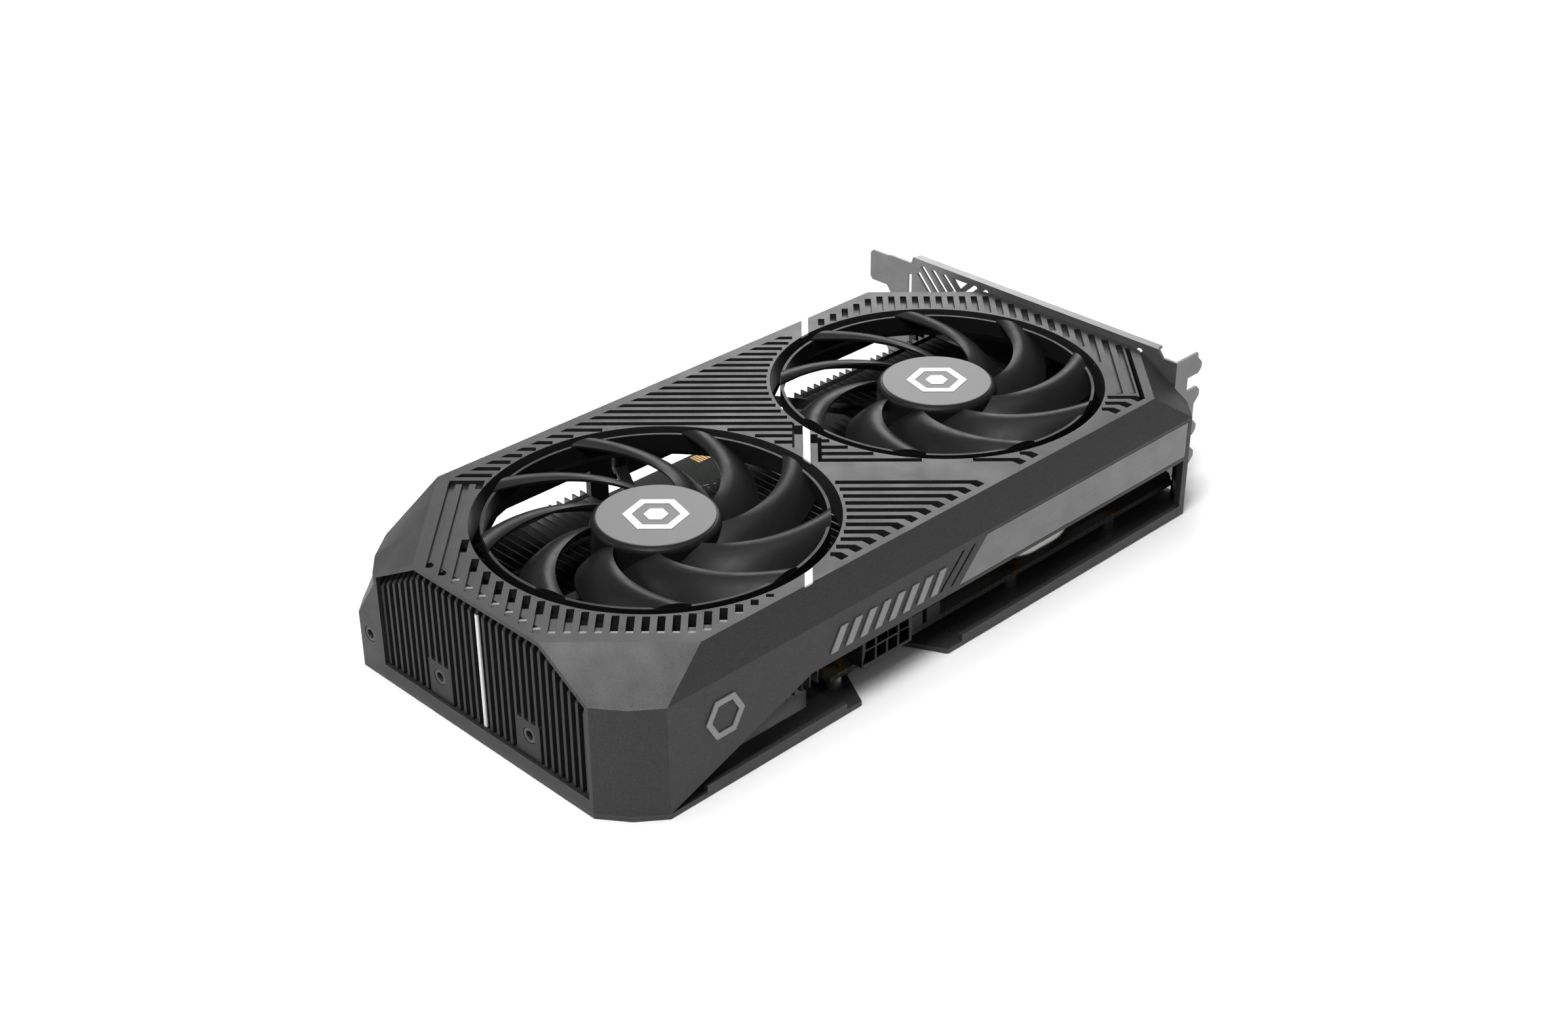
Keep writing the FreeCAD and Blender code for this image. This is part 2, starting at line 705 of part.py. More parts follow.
STANDOFFS = [(-34.65, -44.4), (34.45, -44.4), (77.95, -44.4), (-34.65, 47.5), (34.45, 47.5),
             (77.95, 47.5)]
BRACKET_SCREWS = [(104.2, -20.0), (104.2, 26.0)]
RETENTION = [(11.0, -17.0), (49.0, -17.0), (11.0, 21.0), (49.0, 21.0)]


def make_backplate():
    body = doc.addObject("PartDesign::Body", "backplate_body")
    tail, nose = cell("tail_x"), cell("nose_x")
    front, far = cell("front_y"), cell("far_y")
    points = [
        (tail, front + 13), (tail + 5.5, front + 5.6), (tail + 12.6, front), (-34.45, front),
        (-28.05, front + 11.8), (-9.15, front + 14.8), (-1.55, front), (nose - 7.05, front),
        (nose, front + 7.05), (nose, far), (72, far), (69.5, far - 5), (-22, far - 5),
        (-24.5, far), (tail + 4.7, far), (tail, far - 4.7),
    ]
    sheet_pad = pad(body, outline(body, "plate_outline", "XY_Plane", 0, points), cell("plate_sheet"))
    for index, (x0, x1) in enumerate(((-87.55, -39.75), (4.0, cell("flange_end")))):
        flange = [(x0, front), (x1, front), (x1, front + cell("plate_sheet")),
                  (x0, front + cell("plate_sheet"))]
        pad(body, outline(body, f"flange_{index}", "XY_Plane", 0, flange), cell("flange_top_z"))
    windows = [
        [(-97.0, -46.2), (-46.0, -46.2), (-39.6, -39.8), (-39.6, -3.0), (-97.0, -3.0)],
        [(-97.0, 3.0), (-39.6, 3.0), (-39.6, 38.0), (-46.0, 44.4), (-97.0, 44.4)],
    ]
    for index, window in enumerate(windows):
        pocket(body, outline(body, f"window_{index}", "XY_Plane", 0, window),
               cell("plate_sheet") + 1, True)
    for index in range(9):
        low = 12.0 + 8.0 * index
        vent = [(low, -30.0), (low + 3.4, -30.0), (low + 11.4, -22.0), (low + 8.0, -22.0)]
        pocket(body, outline(body, f"vent_{index}", "XY_Plane", 0, vent),
               cell("plate_sheet") + 1, True)
    doc.recompute()
    holes = []
    for index, (px, py) in enumerate(STANDOFFS):
        holes.append(cone(f"sink_{index}", px, py, -0.01, 2.6, 1.5, 1.11))
        holes.append(rod(f"sink_hole_{index}", px, py, 1.0, 1.5, 2))
    for index, (px, py) in enumerate(RETENTION):
        holes.append(rod(f"access_{index}", px, py, -1, 3.2, 4))
    holes.append(rod("tooling_hole_0", 2.2, -44.2, -1, 1.1, 4))
    holes.append(rod("tooling_hole_1", 5.6, -48.6, -1, 1.1, 4))
    node(cut("backplate_cut", body, holes), "backplate")


make_backplate()

# ---------------------------------------------------------------- circuit board

BOARD_TOP = num("board_z") + num("board_thick")


def make_board():
    body = doc.addObject("PartDesign::Body", "board_body")
    x0, x1, y0, y1 = cell("board_x0"), cell("board_x1"), cell("board_y0"), cell("board_y1")
    edge = cell("edge_y")
    key = 54.35  # middle of the key gap of the slot connector
    points = [
        (x0, y0), (x1 - 3.4, y0), (x1, y0 + 3.4), (x1, y1 - 10.9), (x1 - 10.9, y1),
        (66.95, y1), (66.0, y1 + 1), (66.0, edge - 1),
        (65.0, edge), (key + 0.95, edge), (key + 0.95, edge - 7), (key - 0.95, edge - 7),
        (key - 0.95, edge), (-18.2, edge), (-19.2, edge - 1), (-19.2, y1 + 1), (-20.2, y1),
        (-23.2, y1), (-23.2, edge - 4), (-26.4, edge - 4), (-29.4, y1), (x0, y1),
    ]
    pad(body, outline(body, "board_outline", "XY_Plane", cell("board_z"), points),
        cell("board_thick"))
    holes = [rod(f"board_hole_{index}", px, py, 0, 1.6, 12)
             for index, (px, py) in enumerate(STANDOFFS + BRACKET_SCREWS)]
    holes += [rod(f"cooler_hole_{index}", px, py, 0, 1.8, 12)
              for index, (px, py) in enumerate(RETENTION)]
    node(cut("board_cut", body, holes), "circuit_board")


make_board()


def contact_places():
    """Forty-nine contacts a side, one millimetre apart, eleven before the key gap."""
    for index in range(49):
        shift = index if index < 11 else index + 2
        yield 65.15 - shift


def make_contacts():
    pads = []
    for side, z in enumerate((cell("board_z") - 0.04, cell("board_z") + cell("board_thick"))):
        for index, x in enumerate(contact_places()):
            pads.append(box(f"contact_{side}_{index}", x - 0.35, cell("edge_y") - 5.2, z,
                            0.7, 4.2, 0.04))
    node(group("contacts", pads), "edge_contacts")


make_contacts()


def ring(name, x, y, z, outer, inner, height):
    return cut(name, rod(name + "_outer", x, y, z, outer, height),
               [rod(name + "_inner", x, y, z - 1, inner, height + 2)])


def make_board_fixings():
    top = cell("board_z") + cell("board_thick")
    node(group("pads", [ring(f"pad_{index}", px, py, top, 3.5, 1.7, 0.06)
                        for index, (px, py) in enumerate(STANDOFFS)]), "screw_pads")
    node(group("posts", [ring(f"standoff_{index}", px, py, cell("plate_sheet"), 2.3, 1.25,
                              cell("board_z") - cell("plate_sheet"))
                         for index, (px, py) in enumerate(STANDOFFS)]), "board_standoffs")
    screws = []
    for index, (px, py) in enumerate(STANDOFFS):
        head = cone(f"plate_screw_head_{index}", px, py, 0.05, 2.5, 1.2, 1.0)
        shank = rod(f"plate_screw_shank_{index}", px, py, 0.9, 1.2, 5.8)
        screws.append(fuse(f"plate_screw_{index}", [head, shank]))
    node(group("plate_screws", screws), "backplate_screws")


make_board_fixings()

GPU_X, GPU_Y = 30.0, 2.0


def make_chips():
    top = cell("board_z") + cell("board_thick")
    node(box("package", GPU_X - 16, GPU_Y - 16, top, 32, 32, 1.1), "gpu_package")
    node(box("die", GPU_X - 8, GPU_Y - 6.5, top + 1.1, 16, 13, 0.75), "gpu_die")
    places = [(-8, -9), (-8, 7), (17, -33), (32, -33)]
    chips = [box(f"chip_{index}", px, py, top, 12, 14, 1.1) for index, (px, py) in enumerate(places)]
    node(group("chips", chips), "memory_chips")
    soft = [box(f"chip_pad_{index}", px + 0.5, py + 0.5, top + 1.1, 11, 13, 0.75)
            for index, (px, py) in enumerate(places)]
    node(group("chip_pads", soft), "memory_thermal_pads")


make_chips()


def make_power_parts():
    top = cell("board_z") + cell("board_thick")
    chokes = []
    stages = []
    pads = []
    for index in range(6):
        y = -30.5 + 11.5 * index
        chokes.append(box(f"choke_{index}", -24.0, y, top, 8.0, 8.0, 4.8))
        stages.append(box(f"stage_{index}", -33.5, y + 1, top, 5.0, 6.0, 0.9))
        pads.append(box(f"stage_pad_{index}", -33.3, y + 1.2, top + 0.9, 4.6, 5.6,
                        cell("plate_z") - top - 0.9))
    node(group("choke_row", chokes), "power_chokes")
    node(group("stage_row", stages), "power_stages")
    node(group("stage_pads", pads), "power_stage_pads")
    node(box("stage_plate", -35.2, -32.0, cell("plate_z"), 9.0, 66.0, cell("plate_thick")),
         "power_stage_plate")
    cans = []
    for index in range(5):
        cans.append(rod(f"can_{index}", 57.5 + 7.5 * index, 36.0, top, 3.15, 4.8))
    for index in range(3):
        cans.append(rod(f"front_can_{index}", 50.0 + 7.6 * index, -40.0, top, 2.5, 4.8))
    node(group("cans", cans), "capacitors")


make_power_parts()

# ---------------------------------------------------------------- power header

HEADER_X0, HEADER_WIDE, CELL_PITCH = -30.4, 18.6, 4.2


def make_power_header():
    top = cell("board_z") + cell("board_thick")
    face_y = -50.6
    shell = box("header_block", HEADER_X0, face_y, top, HEADER_WIDE, 14.0, 9.8)
    hollows = []
    pins = []
    for column in range(4):
        for layer in range(2):
            x = HEADER_X0 + HEADER_WIDE / 2 + (column - 1.5) * CELL_PITCH
            z = top + 2.7 + CELL_PITCH * layer
            hollows.append(box(f"well_{column}_{layer}", x - 1.75, face_y - 1, z - 1.75,
                               3.5, 12.0, 3.5))
            pins.append(box(f"pin_{column}_{layer}", x - 0.5, face_y + 2.5, z - 0.5, 1, 8.5, 1))
    node(cut("header_shell", shell, hollows), "power_header")
    node(group("header_pins", pins), "power_header_pins")


make_power_header()

# ---------------------------------------------------------------- cooler

PIPE_R, PIPE_Z = num("pipe_r"), num("pipe_z")
PIPES = [
    [(58.0, -20.0, PIPE_Z), (58.0, 12.0, PIPE_Z), (26.0, 16.0, PIPE_Z), (-12.0, 38.0, PIPE_Z),
     (-102.0, 38.0, PIPE_Z)],
    [(45.0, 6.6, PIPE_Z), (20.0, 5.5, PIPE_Z), (-16.0, 14.0, PIPE_Z), (-102.0, 14.0, PIPE_Z)],
    [(50.0, -2.0, PIPE_Z), (10.0, -2.5, PIPE_Z), (-16.0, -12.0, PIPE_Z), (-102.0, -12.0, PIPE_Z)],
    [(34.0, -9.0, PIPE_Z), (24.0, -49.0, PIPE_Z), (54.0, -49.0, PIPE_Z), (64.0, -30.0, PIPE_Z),
     (64.0, 0.0, PIPE_Z), (76.0, 12.0, PIPE_Z)],
]


def make_cold_plate():
    body = doc.addObject("PartDesign::Body", "cold_plate_body")
    points = [(-10, -36), (60, -36), (64, -32), (64, 24), (60, 28), (-10, 28), (-14, 24),
              (-14, -32)]
    pad(body, outline(body, "plate_plan", "XY_Plane", cell("plate_z"), points), cell("plate_thick"))
    holes = [rod(f"plate_hole_{index}", px, py, 5, 1.8, 10) for index, (px, py) in
             enumerate(RETENTION)]
    node(cut("cold_plate_cut", body, holes), "cold_plate")


make_cold_plate()


def make_pipes():
    pipes = [tube(points, PIPE_R) for points in PIPES[:3]]
    node(shaped("long_pipes", Part.makeCompound(pipes)), "heat_pipes")
    node(shaped("front_pipe", tube(PIPES[3], PIPE_R - 0.05)), "front_heat_pipe")


make_pipes()


def fin_comb(name, x0, count, low_z, ties):
    """Parallel sheets across the card, tied by strips given as Y, Z, width and height."""
    body = doc.addObject("PartDesign::Body", name)
    front, far = cell("fin_front_y"), cell("fin_far_y")
    thick, pitch = cell("fin_thick"), cell("fin_pitch")
    points = [(x0, front), (x0 + thick, front), (x0 + thick, far), (x0, far)]
    first = pad(body, outline(body, name + "_fin", "XY_Plane", low_z, points),
                cell("fin_top_z") - low_z)
    end = pitch * (count - 1) + thick + x0
    for index, (y, z, wide, high) in enumerate(ties):
        tie = [(x0, y), (end, y), (end, y + wide), (x0, y + wide)]
        pad(body, outline(body, f"{name}_tie_{index}", "XY_Plane", z, tie), high)
    doc.recompute()
    row = body.newObject("PartDesign::LinearPattern", name + "_row")
    row.Originals = [first]
    row.Direction = (plane_of(body, "X_Axis"), [""])
    row.Length = float(pitch) * (count - 1)
    bind(row, "Length", pitch * (count - 1))
    row.Occurrences = count
    body.Tip = row
    return body


TAIL_FINS, MAIN_FINS = 23, 50
TIE_WIDE, TIE_HIGH = 1.6, 0.35


def make_fins():
    pitch, front, far = cell("fin_pitch"), cell("fin_front_y"), cell("fin_far_y")
    low, top = BOARD_TOP - 1.8, cell("fin_top_z")
    first_x = cell("tail_x") + 10.5
    ties = [(y, z, TIE_WIDE, TIE_HIGH) for y in (front + 4, -20.0, 24.0, far - 4)
            for z in (low, top - TIE_HIGH)]
    tail = fin_comb("tail_comb", first_x, TAIL_FINS, low, ties)
    holes = []
    for index, pipe in enumerate(PIPES[:3]):
        holes.append(rod(f"pipe_hole_{index}", first_x - 1, pipe[-1][1], cell("pipe_z"),
                         cell("pipe_r") + 0.02, pitch * TAIL_FINS, "x"))
    node(cut("tail_comb_holes", tail, holes), "tail_fin_stack")
    low = cell("pipe_z") + cell("pipe_r") + 0.15
    ties = [(front, low, far - front, 0.5)]
    ties += [(y, top - TIE_HIGH, TIE_WIDE, TIE_HIGH) for y in (front + 4, far - 4)]
    comb = fin_comb("main_comb", cell("tail_x") + 77.05, MAIN_FINS, low, ties)
    clearing = box("fin_clearing", -40.0, 24.0, low - 1, 81.9, 30.0, 12.0)
    node(cut("main_comb_cut", comb, [clearing]), "main_fin_stack")


make_fins()


def make_crossbar():
    """Strap under the fins near the bracket, which ties the cooler to the shroud."""
    strap = box("strap", 79.0, -51.6, PIPE_Z + 0.9, 21.5, 96.0, 1.2)
    hole = rod("strap_hole", 89.5, -48.5, 10, 1.3, 10)
    node(cut("strap_cut", strap, [hole]), "cooler_strap")


def coil_spring(x, y, low, coil_r=1.95, wire_r=0.2, pitch=0.6, turns=3.5):
    """Round wire wound up around a retention screw, six bends to a turn."""
    points = []
    for step in range(int(6 * turns) + 1):
        angle = math.radians(60 * step)
        points.append((x + coil_r * math.cos(angle), y + coil_r * math.sin(angle),
                       low + pitch * step / 6))
    return tube(points, wire_r)


def make_retention():
    screws = []
    springs = []
    for index, (px, py) in enumerate(RETENTION):
        head = rod(f"retention_head_{index}", px, py, 1.6, 2.7, 1.1)
        shank = rod(f"retention_shank_{index}", px, py, 2.6, 1.25, 8.6)
        screws.append(fuse(f"retention_screw_{index}", [head, shank]))
        springs.append(coil_spring(px, py, 2.95))
    node(group("retention", screws), "retention_screws")
    node(shaped("springs", Part.makeCompound(springs)), "retention_springs")


make_retention()

# ---------------------------------------------------------------- fans

BLADES = int(num("blade_count"))
FAN_R, HUB_R = num("fan_r"), num("hub_r")
HUB_LOW, HUB_TOP = num("hub_low_z"), num("hub_top_z")
BAND_TOP, BAND_HIGH, BAND_THICK = 41.1, 4.7, 0.8  # ring that links the blade tips
FAN_TURNS = {"tail": -8.0, "bracket": 11.0}


def blade_section(radius):
    """Closed flat outline of a blade at one radius: sweep, pitch and camber change outwards."""
    share = (radius - HUB_R) / (FAN_R - HUB_R)
    chord_angle = math.radians(38.0 - 25.0 * share + 7.5 * share * share)
    middle_angle = math.radians(48.3 * share * (1.12 - 0.12 * share)) - chord_angle / 2
    lead_z = 39.7 + 1.5 * share
    trail_z = 31.6 + 4.9 * share
    camber = 1.1 + 0.6 * share
    thick = 1.5 - 0.5 * share
    outward = Vector(math.cos(middle_angle), math.sin(middle_angle), 0)
    sideways = Vector(-outward.y, outward.x, 0)
    upper, lower = [], []
    for step in range(7):
        along = step / 6
        offset = radius * math.tan(chord_angle / 2) * (1 - 2 * along)
        z = (lead_z + (trail_z - lead_z) * along ** (1 + 0.6 * share)
             + camber * math.sin(math.pi * along))
        half = 0.5 * thick * (0.35 + 0.65 * math.sin(math.pi * (0.1 + 0.85 * along)))
        place = outward * radius + sideways * offset
        upper.append(place + Vector(0, 0, z + half))
        lower.append(place + Vector(0, 0, z - half))
    curves = []
    for points in (upper, lower[::-1]):
        curve = Part.BSplineCurve()
        curve.interpolate(points)
        curves.append(curve.toShape())
    ends = [Part.LineSegment(upper[-1], lower[-1]).toShape(),
            Part.LineSegment(lower[0], upper[0]).toShape()]
    return Part.Wire([curves[0], ends[0], curves[1], ends[1]])


def make_blades():
    """Blades as lofts through flat sections, trimmed just inside the linking ring's face."""
    inner, outer, steps = HUB_R - 1.1, FAN_R + 0.6, 5
    sections = [blade_section(inner + (outer - inner) * step / steps) for step in range(steps + 1)]
    blade = Part.makeLoft(sections, True, False)
    blade = blade.common(Part.makeCylinder(FAN_R - 0.1, 30, Vector(0, 0, 20)))
    blades = []
    for index in range(BLADES):
        turned = blade.copy()
        turned.rotate(Vector(), Vector(0, 0, 1), 360 / BLADES * index)
        blades.append(turned)
    return blades


BLADE_SHAPES = make_blades()


def hub_cup():
    """Motor cup: a revolved shell, open below, with a rounded shoulder and a shallow seat."""
    outer, low, high = HUB_R, HUB_LOW, HUB_TOP
    wall, roof = 1.2, 1.4
    bore = num("shaft_r")
    profile = [Vector(bore, 0, high - roof), Vector(outer - wall, 0, high - roof),
               Vector(outer - wall, 0, low), Vector(outer, 0, low), Vector(outer, 0, high - 1.6)]
    shoulder = Part.Arc(profile[-1], Vector(outer - 0.47, 0, high - 0.47),
                        Vector(outer - 1.6, 0, high)).toShape()
    after = [Vector(outer - 1.6, 0, high), Vector(num("disc_r") + 0.1, 0, high),
             Vector(num("disc_r") + 0.1, 0, high - 0.5), Vector(bore, 0, high - 0.5),
             Vector(bore, 0, high - roof)]
    wire = Part.Wire([Part.LineSegment(a, b).toShape() for a, b in zip(profile, profile[1:])]
                     + [shoulder]
                     + [Part.LineSegment(a, b).toShape() for a, b in zip(after, after[1:])])
    return Part.Face(wire).revolve(Vector(), Vector(0, 0, 1), 360)


def make_fan(fan_x, name, turn):
    """Rotor pieces turn together; the motor pieces below them stay with the card."""
    spot = cell("fan_x") * (1 if fan_x > 0 else -1)
    band = Part.makeCylinder(FAN_R, BAND_HIGH, Vector(0, 0, BAND_TOP - BAND_HIGH)).cut(
        Part.makeCylinder(FAN_R - BAND_THICK, BAND_HIGH + 2, Vector(0, 0, BAND_TOP - BAND_HIGH - 1)))
    solid = hub_cup().multiFuse(BLADE_SHAPES + [band])
    rotor = shaped(f"{name}_rotor_shape", solid)
    node(move(rotor, spot, 0, 0, Rotation(Vector(0, 0, 1), turn)), f"{name}_fan_rotor")
    high = cell("hub_top_z")
    node(rod(f"{name}_disc", spot, 0, high - 0.5, cell("disc_r"), 0.9), f"{name}_hub_disc")
    outer, inner, heart = [prism(hexagon(0, 0, radius, 15), 0, 0.15) for radius in (8.6, 6.2, 3.2)]
    mark = shaped(f"{name}_emblem_shape", Part.makeCompound([outer.cut(inner), heart]))
    node(move(mark, spot, 0, high + 0.4), f"{name}_hub_emblem")
    node(cut(f"{name}_magnet_cut", rod(f"{name}_magnet_outer", spot, 0, 30.6, cell("hub_r") - 1.25, 7.6),
             [rod(f"{name}_magnet_inner", spot, 0, 30, cell("hub_r") - 2.7, 9)]),
         f"{name}_magnet_ring")
    node(rod(f"{name}_shaft_rod", spot, 0, 29.9, cell("shaft_r") - 0.01, high - 0.55 - 29.9),
         f"{name}_fan_shaft")
    node(cut(f"{name}_sleeve_cut", rod(f"{name}_sleeve_outer", spot, 0, 29.6, 3.0, 8.6),
             [rod(f"{name}_sleeve_inner", spot, 0, 29.0, cell("shaft_r") + cell("bearing_gap"), 10)]),
         f"{name}_bearing_sleeve")
    make_stator(spot, name)
    make_motor_base(spot, fan_x, name)


def make_stator(spot, name):
    teeth = [rod(f"{name}_core_hub", spot, 0, 31.0, 5.2, 5.0)]
    coils = []
    for index in range(6):
        angle = 60.0 * index
        turn = Rotation(Vector(0, 0, 1), angle)
        tooth = box(f"{name}_tooth_{index}", spot, 0, 0, 9.0, 2.4, 5.0)
        side = math.radians(angle)
        shift = Vector(4.0 * math.cos(side) + 1.2 * math.sin(side),
                       4.0 * math.sin(side) - 1.2 * math.cos(side), 31.0)
        move(tooth, spot + shift.x, shift.y, shift.z, turn)
        teeth.append(tooth)
        coil = box(f"{name}_coil_{index}", spot, 0, 0, 4.2, 4.6, 6.4)
        hole = box(f"{name}_coil_core_{index}", spot, 0, 0, 6.2, 2.5, 5.1)
        for item, along, wide, z in ((coil, 6.4, 2.3, 30.3), (hole, 5.4, 1.25, 30.95)):
            move(item, spot + along * math.cos(side) + wide * math.sin(side),
                 along * math.sin(side) - wide * math.cos(side), z, turn)
        coils.append(cut(f"{name}_winding_{index}", coil, [hole]))
    core = fuse(f"{name}_core_full", teeth)
    node(cut(f"{name}_core_cut", core, [rod(f"{name}_core_bore", spot, 0, 30, 3.02, 8)]),
         f"{name}_stator_core")
    node(group(f"{name}_windings", coils), f"{name}_stator_windings")


def make_motor_base(spot, fan_x, name):
    """Disc under the motor with three arms that reach the shroud's posts."""
    pieces = [rod(f"{name}_base_disc", spot, 0, 27.6, 16.6, 1.8)]
    holes = []
    screws = []
    for index, angle in enumerate(ARM_ANGLES[name]):
        turn = math.radians(angle)
        arm = box(f"{name}_arm_{index}", spot, 0, 0, POST_R - 14, 3.2, 1.8)
        move(arm, spot + 14 * math.cos(turn) + 1.6 * math.sin(turn),
             14 * math.sin(turn) - 1.6 * math.cos(turn), 27.6, Rotation(Vector(0, 0, 1), angle))
        px, py = POST_R * math.cos(turn), POST_R * math.sin(turn)
        pieces += [arm, rod(f"{name}_eye_{index}", spot + px, py, 27.6, 2.2, 1.8)]
        holes.append(rod(f"{name}_eye_hole_{index}", spot + px, py, 27, 1.0, 4))
        head = rod(f"{name}_fan_screw_head_{index}", spot + px, py, 26.5, 1.8, 1.05)
        shank = rod(f"{name}_fan_screw_shank_{index}", spot + px, py, 27.5, 0.85, 6.5)
        screws.append(fuse(f"{name}_fan_screw_{index}", [head, shank]))
    pieces.append(rod(f"{name}_tower", spot, 0, 29.3, 4.4, 1.5))
    holes.append(rod(f"{name}_tower_bore", spot, 0, 29.0, 3.02, 3))
    node(cut(f"{name}_base_cut", fuse(f"{name}_base", pieces), holes), f"{name}_motor_base")
    FAN_SCREWS.extend(screws)


FAN_SCREWS = []
for place, fan_name in FANS:
    make_fan(place, fan_name, FAN_TURNS[fan_name])
node(group("fan_screw_set", FAN_SCREWS), "fan_screws")


SOCKET_HIGH = 4.2
SOCKET_TOP = BOARD_TOP + SOCKET_HIGH


def make_leads():
    """Fan leads: under an arm, over the front edge of the fins, down to the board."""
    sockets = []
    for fan_x, name in FANS:
        angle = math.radians(ARM_ANGLES[name][2] if name == "tail" else ARM_ANGLES[name][1])
        along = Vector(math.cos(angle), math.sin(angle), 0)
        start = Vector(fan_x, 0, 26.6) + along * 10
        knee = Vector(fan_x, 0, 26.6) + along * 38
        side = -1 if name == "bracket" else 1
        drop_x = -3.5 + (-3.4 if name == "tail" else 3.4)
        points = [tuple(start), tuple(knee), (knee.x + side * 14, -48.6, 26.2),
                  (drop_x - side * 3, -47.9, 18.4), (drop_x, -45.4, SOCKET_TOP + 4),
                  (drop_x, -45.4, SOCKET_TOP)]
        lead = tube(points, 0.7, 0.4)
        node(shaped(f"{name}_lead_shape", lead), f"{name}_fan_lead")
        top = cell("board_z") + cell("board_thick")
        block = box(f"{name}_socket", drop_x - 2.6, -47.6, top, 5.2, 4.4, SOCKET_HIGH)
        sockets.append(block)
    node(group("sockets", sockets), "fan_headers")


# ---------------------------------------------------------------- display connectors

SHELL_TOP = 6.0
PORTS = [(-31.5, 17.0, "displayport"), (-8.5, 17.0, "displayport"), (14.5, 17.0, "displayport"),
         (36.5, 15.0, "hdmi")]


def make_ports():
    top = cell("board_z") + cell("board_thick")
    reach = 17.0
    kinds = {"displayport": [], "hdmi": []}
    tongues = []
    for index, (y, wide, kind) in enumerate(PORTS):
        x0 = cell("bracket_x") - reach + 0.9
        shell = box(f"port_{index}", x0, y - wide / 2, top, reach, wide, SHELL_TOP)
        well = box(f"port_well_{index}", x0 + 4, y - wide / 2 + 0.5, top + 0.5, reach,
                   wide - 1, SHELL_TOP - 1)
        kinds[kind].append(cut(f"port_shell_{index}", shell, [well]))
        tongues.append(box(f"tongue_{index}", x0 + 4, y - wide / 2 + 2, top + 2.5, 11.5,
                           wide - 4, 1.0))
    node(group("displayports", kinds["displayport"]), "displayport_shells")
    node(kinds["hdmi"][0], "hdmi_shell")
    node(group("port_tongue_set", tongues), "port_tongues")


make_ports()

# ---------------------------------------------------------------- slot bracket

BRACKET_X, SHEET = num("bracket_x"), num("sheet")
Z0, Z1, BEND = num("bracket_z0"), num("bracket_z1"), num("bend_y")
NOTCHES = [12.25, 12.25 + num("notch_gap")]
TONGUE_END = 77.6


def bracket_face():
    """Outline of the bracket's upright sheet in Y and Z, tongues included."""
    half = num("tongue_wide") / 2
    low, high = NOTCHES[0] + 3.6, NOTCHES[1] + 3.6
    return [
        (BEND, Z0), (66.0, Z0), (70.4, low - half), (TONGUE_END - 1, low - half),
        (TONGUE_END, low - half + 1), (TONGUE_END, low + half - 1), (TONGUE_END - 1, low + half),
        (70.4, low + half), (68.0, low + half + 3), (68.0, high - half - 3),
        (70.4, high - half), (TONGUE_END - 1, high - half), (TONGUE_END, high - half + 1),
        (TONGUE_END, high + half - 1), (TONGUE_END - 1, high + half), (70.4, high + half),
        (69.0, Z1), (60.2, Z1), (59.4, Z1 + 2.3), (-35.6, Z1 + 2.3), (-37.4, Z1), (BEND, Z1),
    ]


def bracket_vents():
    """Slanted slots that mirror about one triangle in the upper slot's field."""
    tools = []
    low, middle, wide, bevel, lean = 23.4, 39.9, 2.0, 0.5, 0.95
    first_reach, reach_pitch, last_front, last_far, clip_y = 7.2, 4.5, -31.5, 62.0, 57.5
    for side in (-1, 1):
        for index in range(16):
            reach = first_reach + reach_pitch * index
            top = middle + side * reach
            if top < last_front or top > last_far:
                continue
            behind_rim = last_front + reach_pitch < top < middle - 3 * reach_pitch
            high = 40.6 if behind_rim else 42.0
            drop = min(high - low, (reach - wide - 0.8) / lean)
            foot = top - side * drop * lean
            points = [(top - side * wide, high - bevel), (top - side * (wide - bevel), high),
                      (top - side * bevel, high), (top, high - bevel)]
            if top > clip_y:  # the last slot stops short below the lip's end
                points = [(clip_y - 0.6, high - (top - wide - clip_y + 0.6) / lean),
                          (clip_y, high - (top - clip_y) / lean)]
            points += [(foot, high - drop), (foot - side * wide, high - drop)]
            tools.append(end_prism(points, BRACKET_X - 1, BRACKET_X + 2))
    tools.append(end_prism([(middle - 3.0, 41.8), (middle + 3.0, 41.8), (middle, 38.8)],
                           BRACKET_X - 1, BRACKET_X + 2))
    return tools


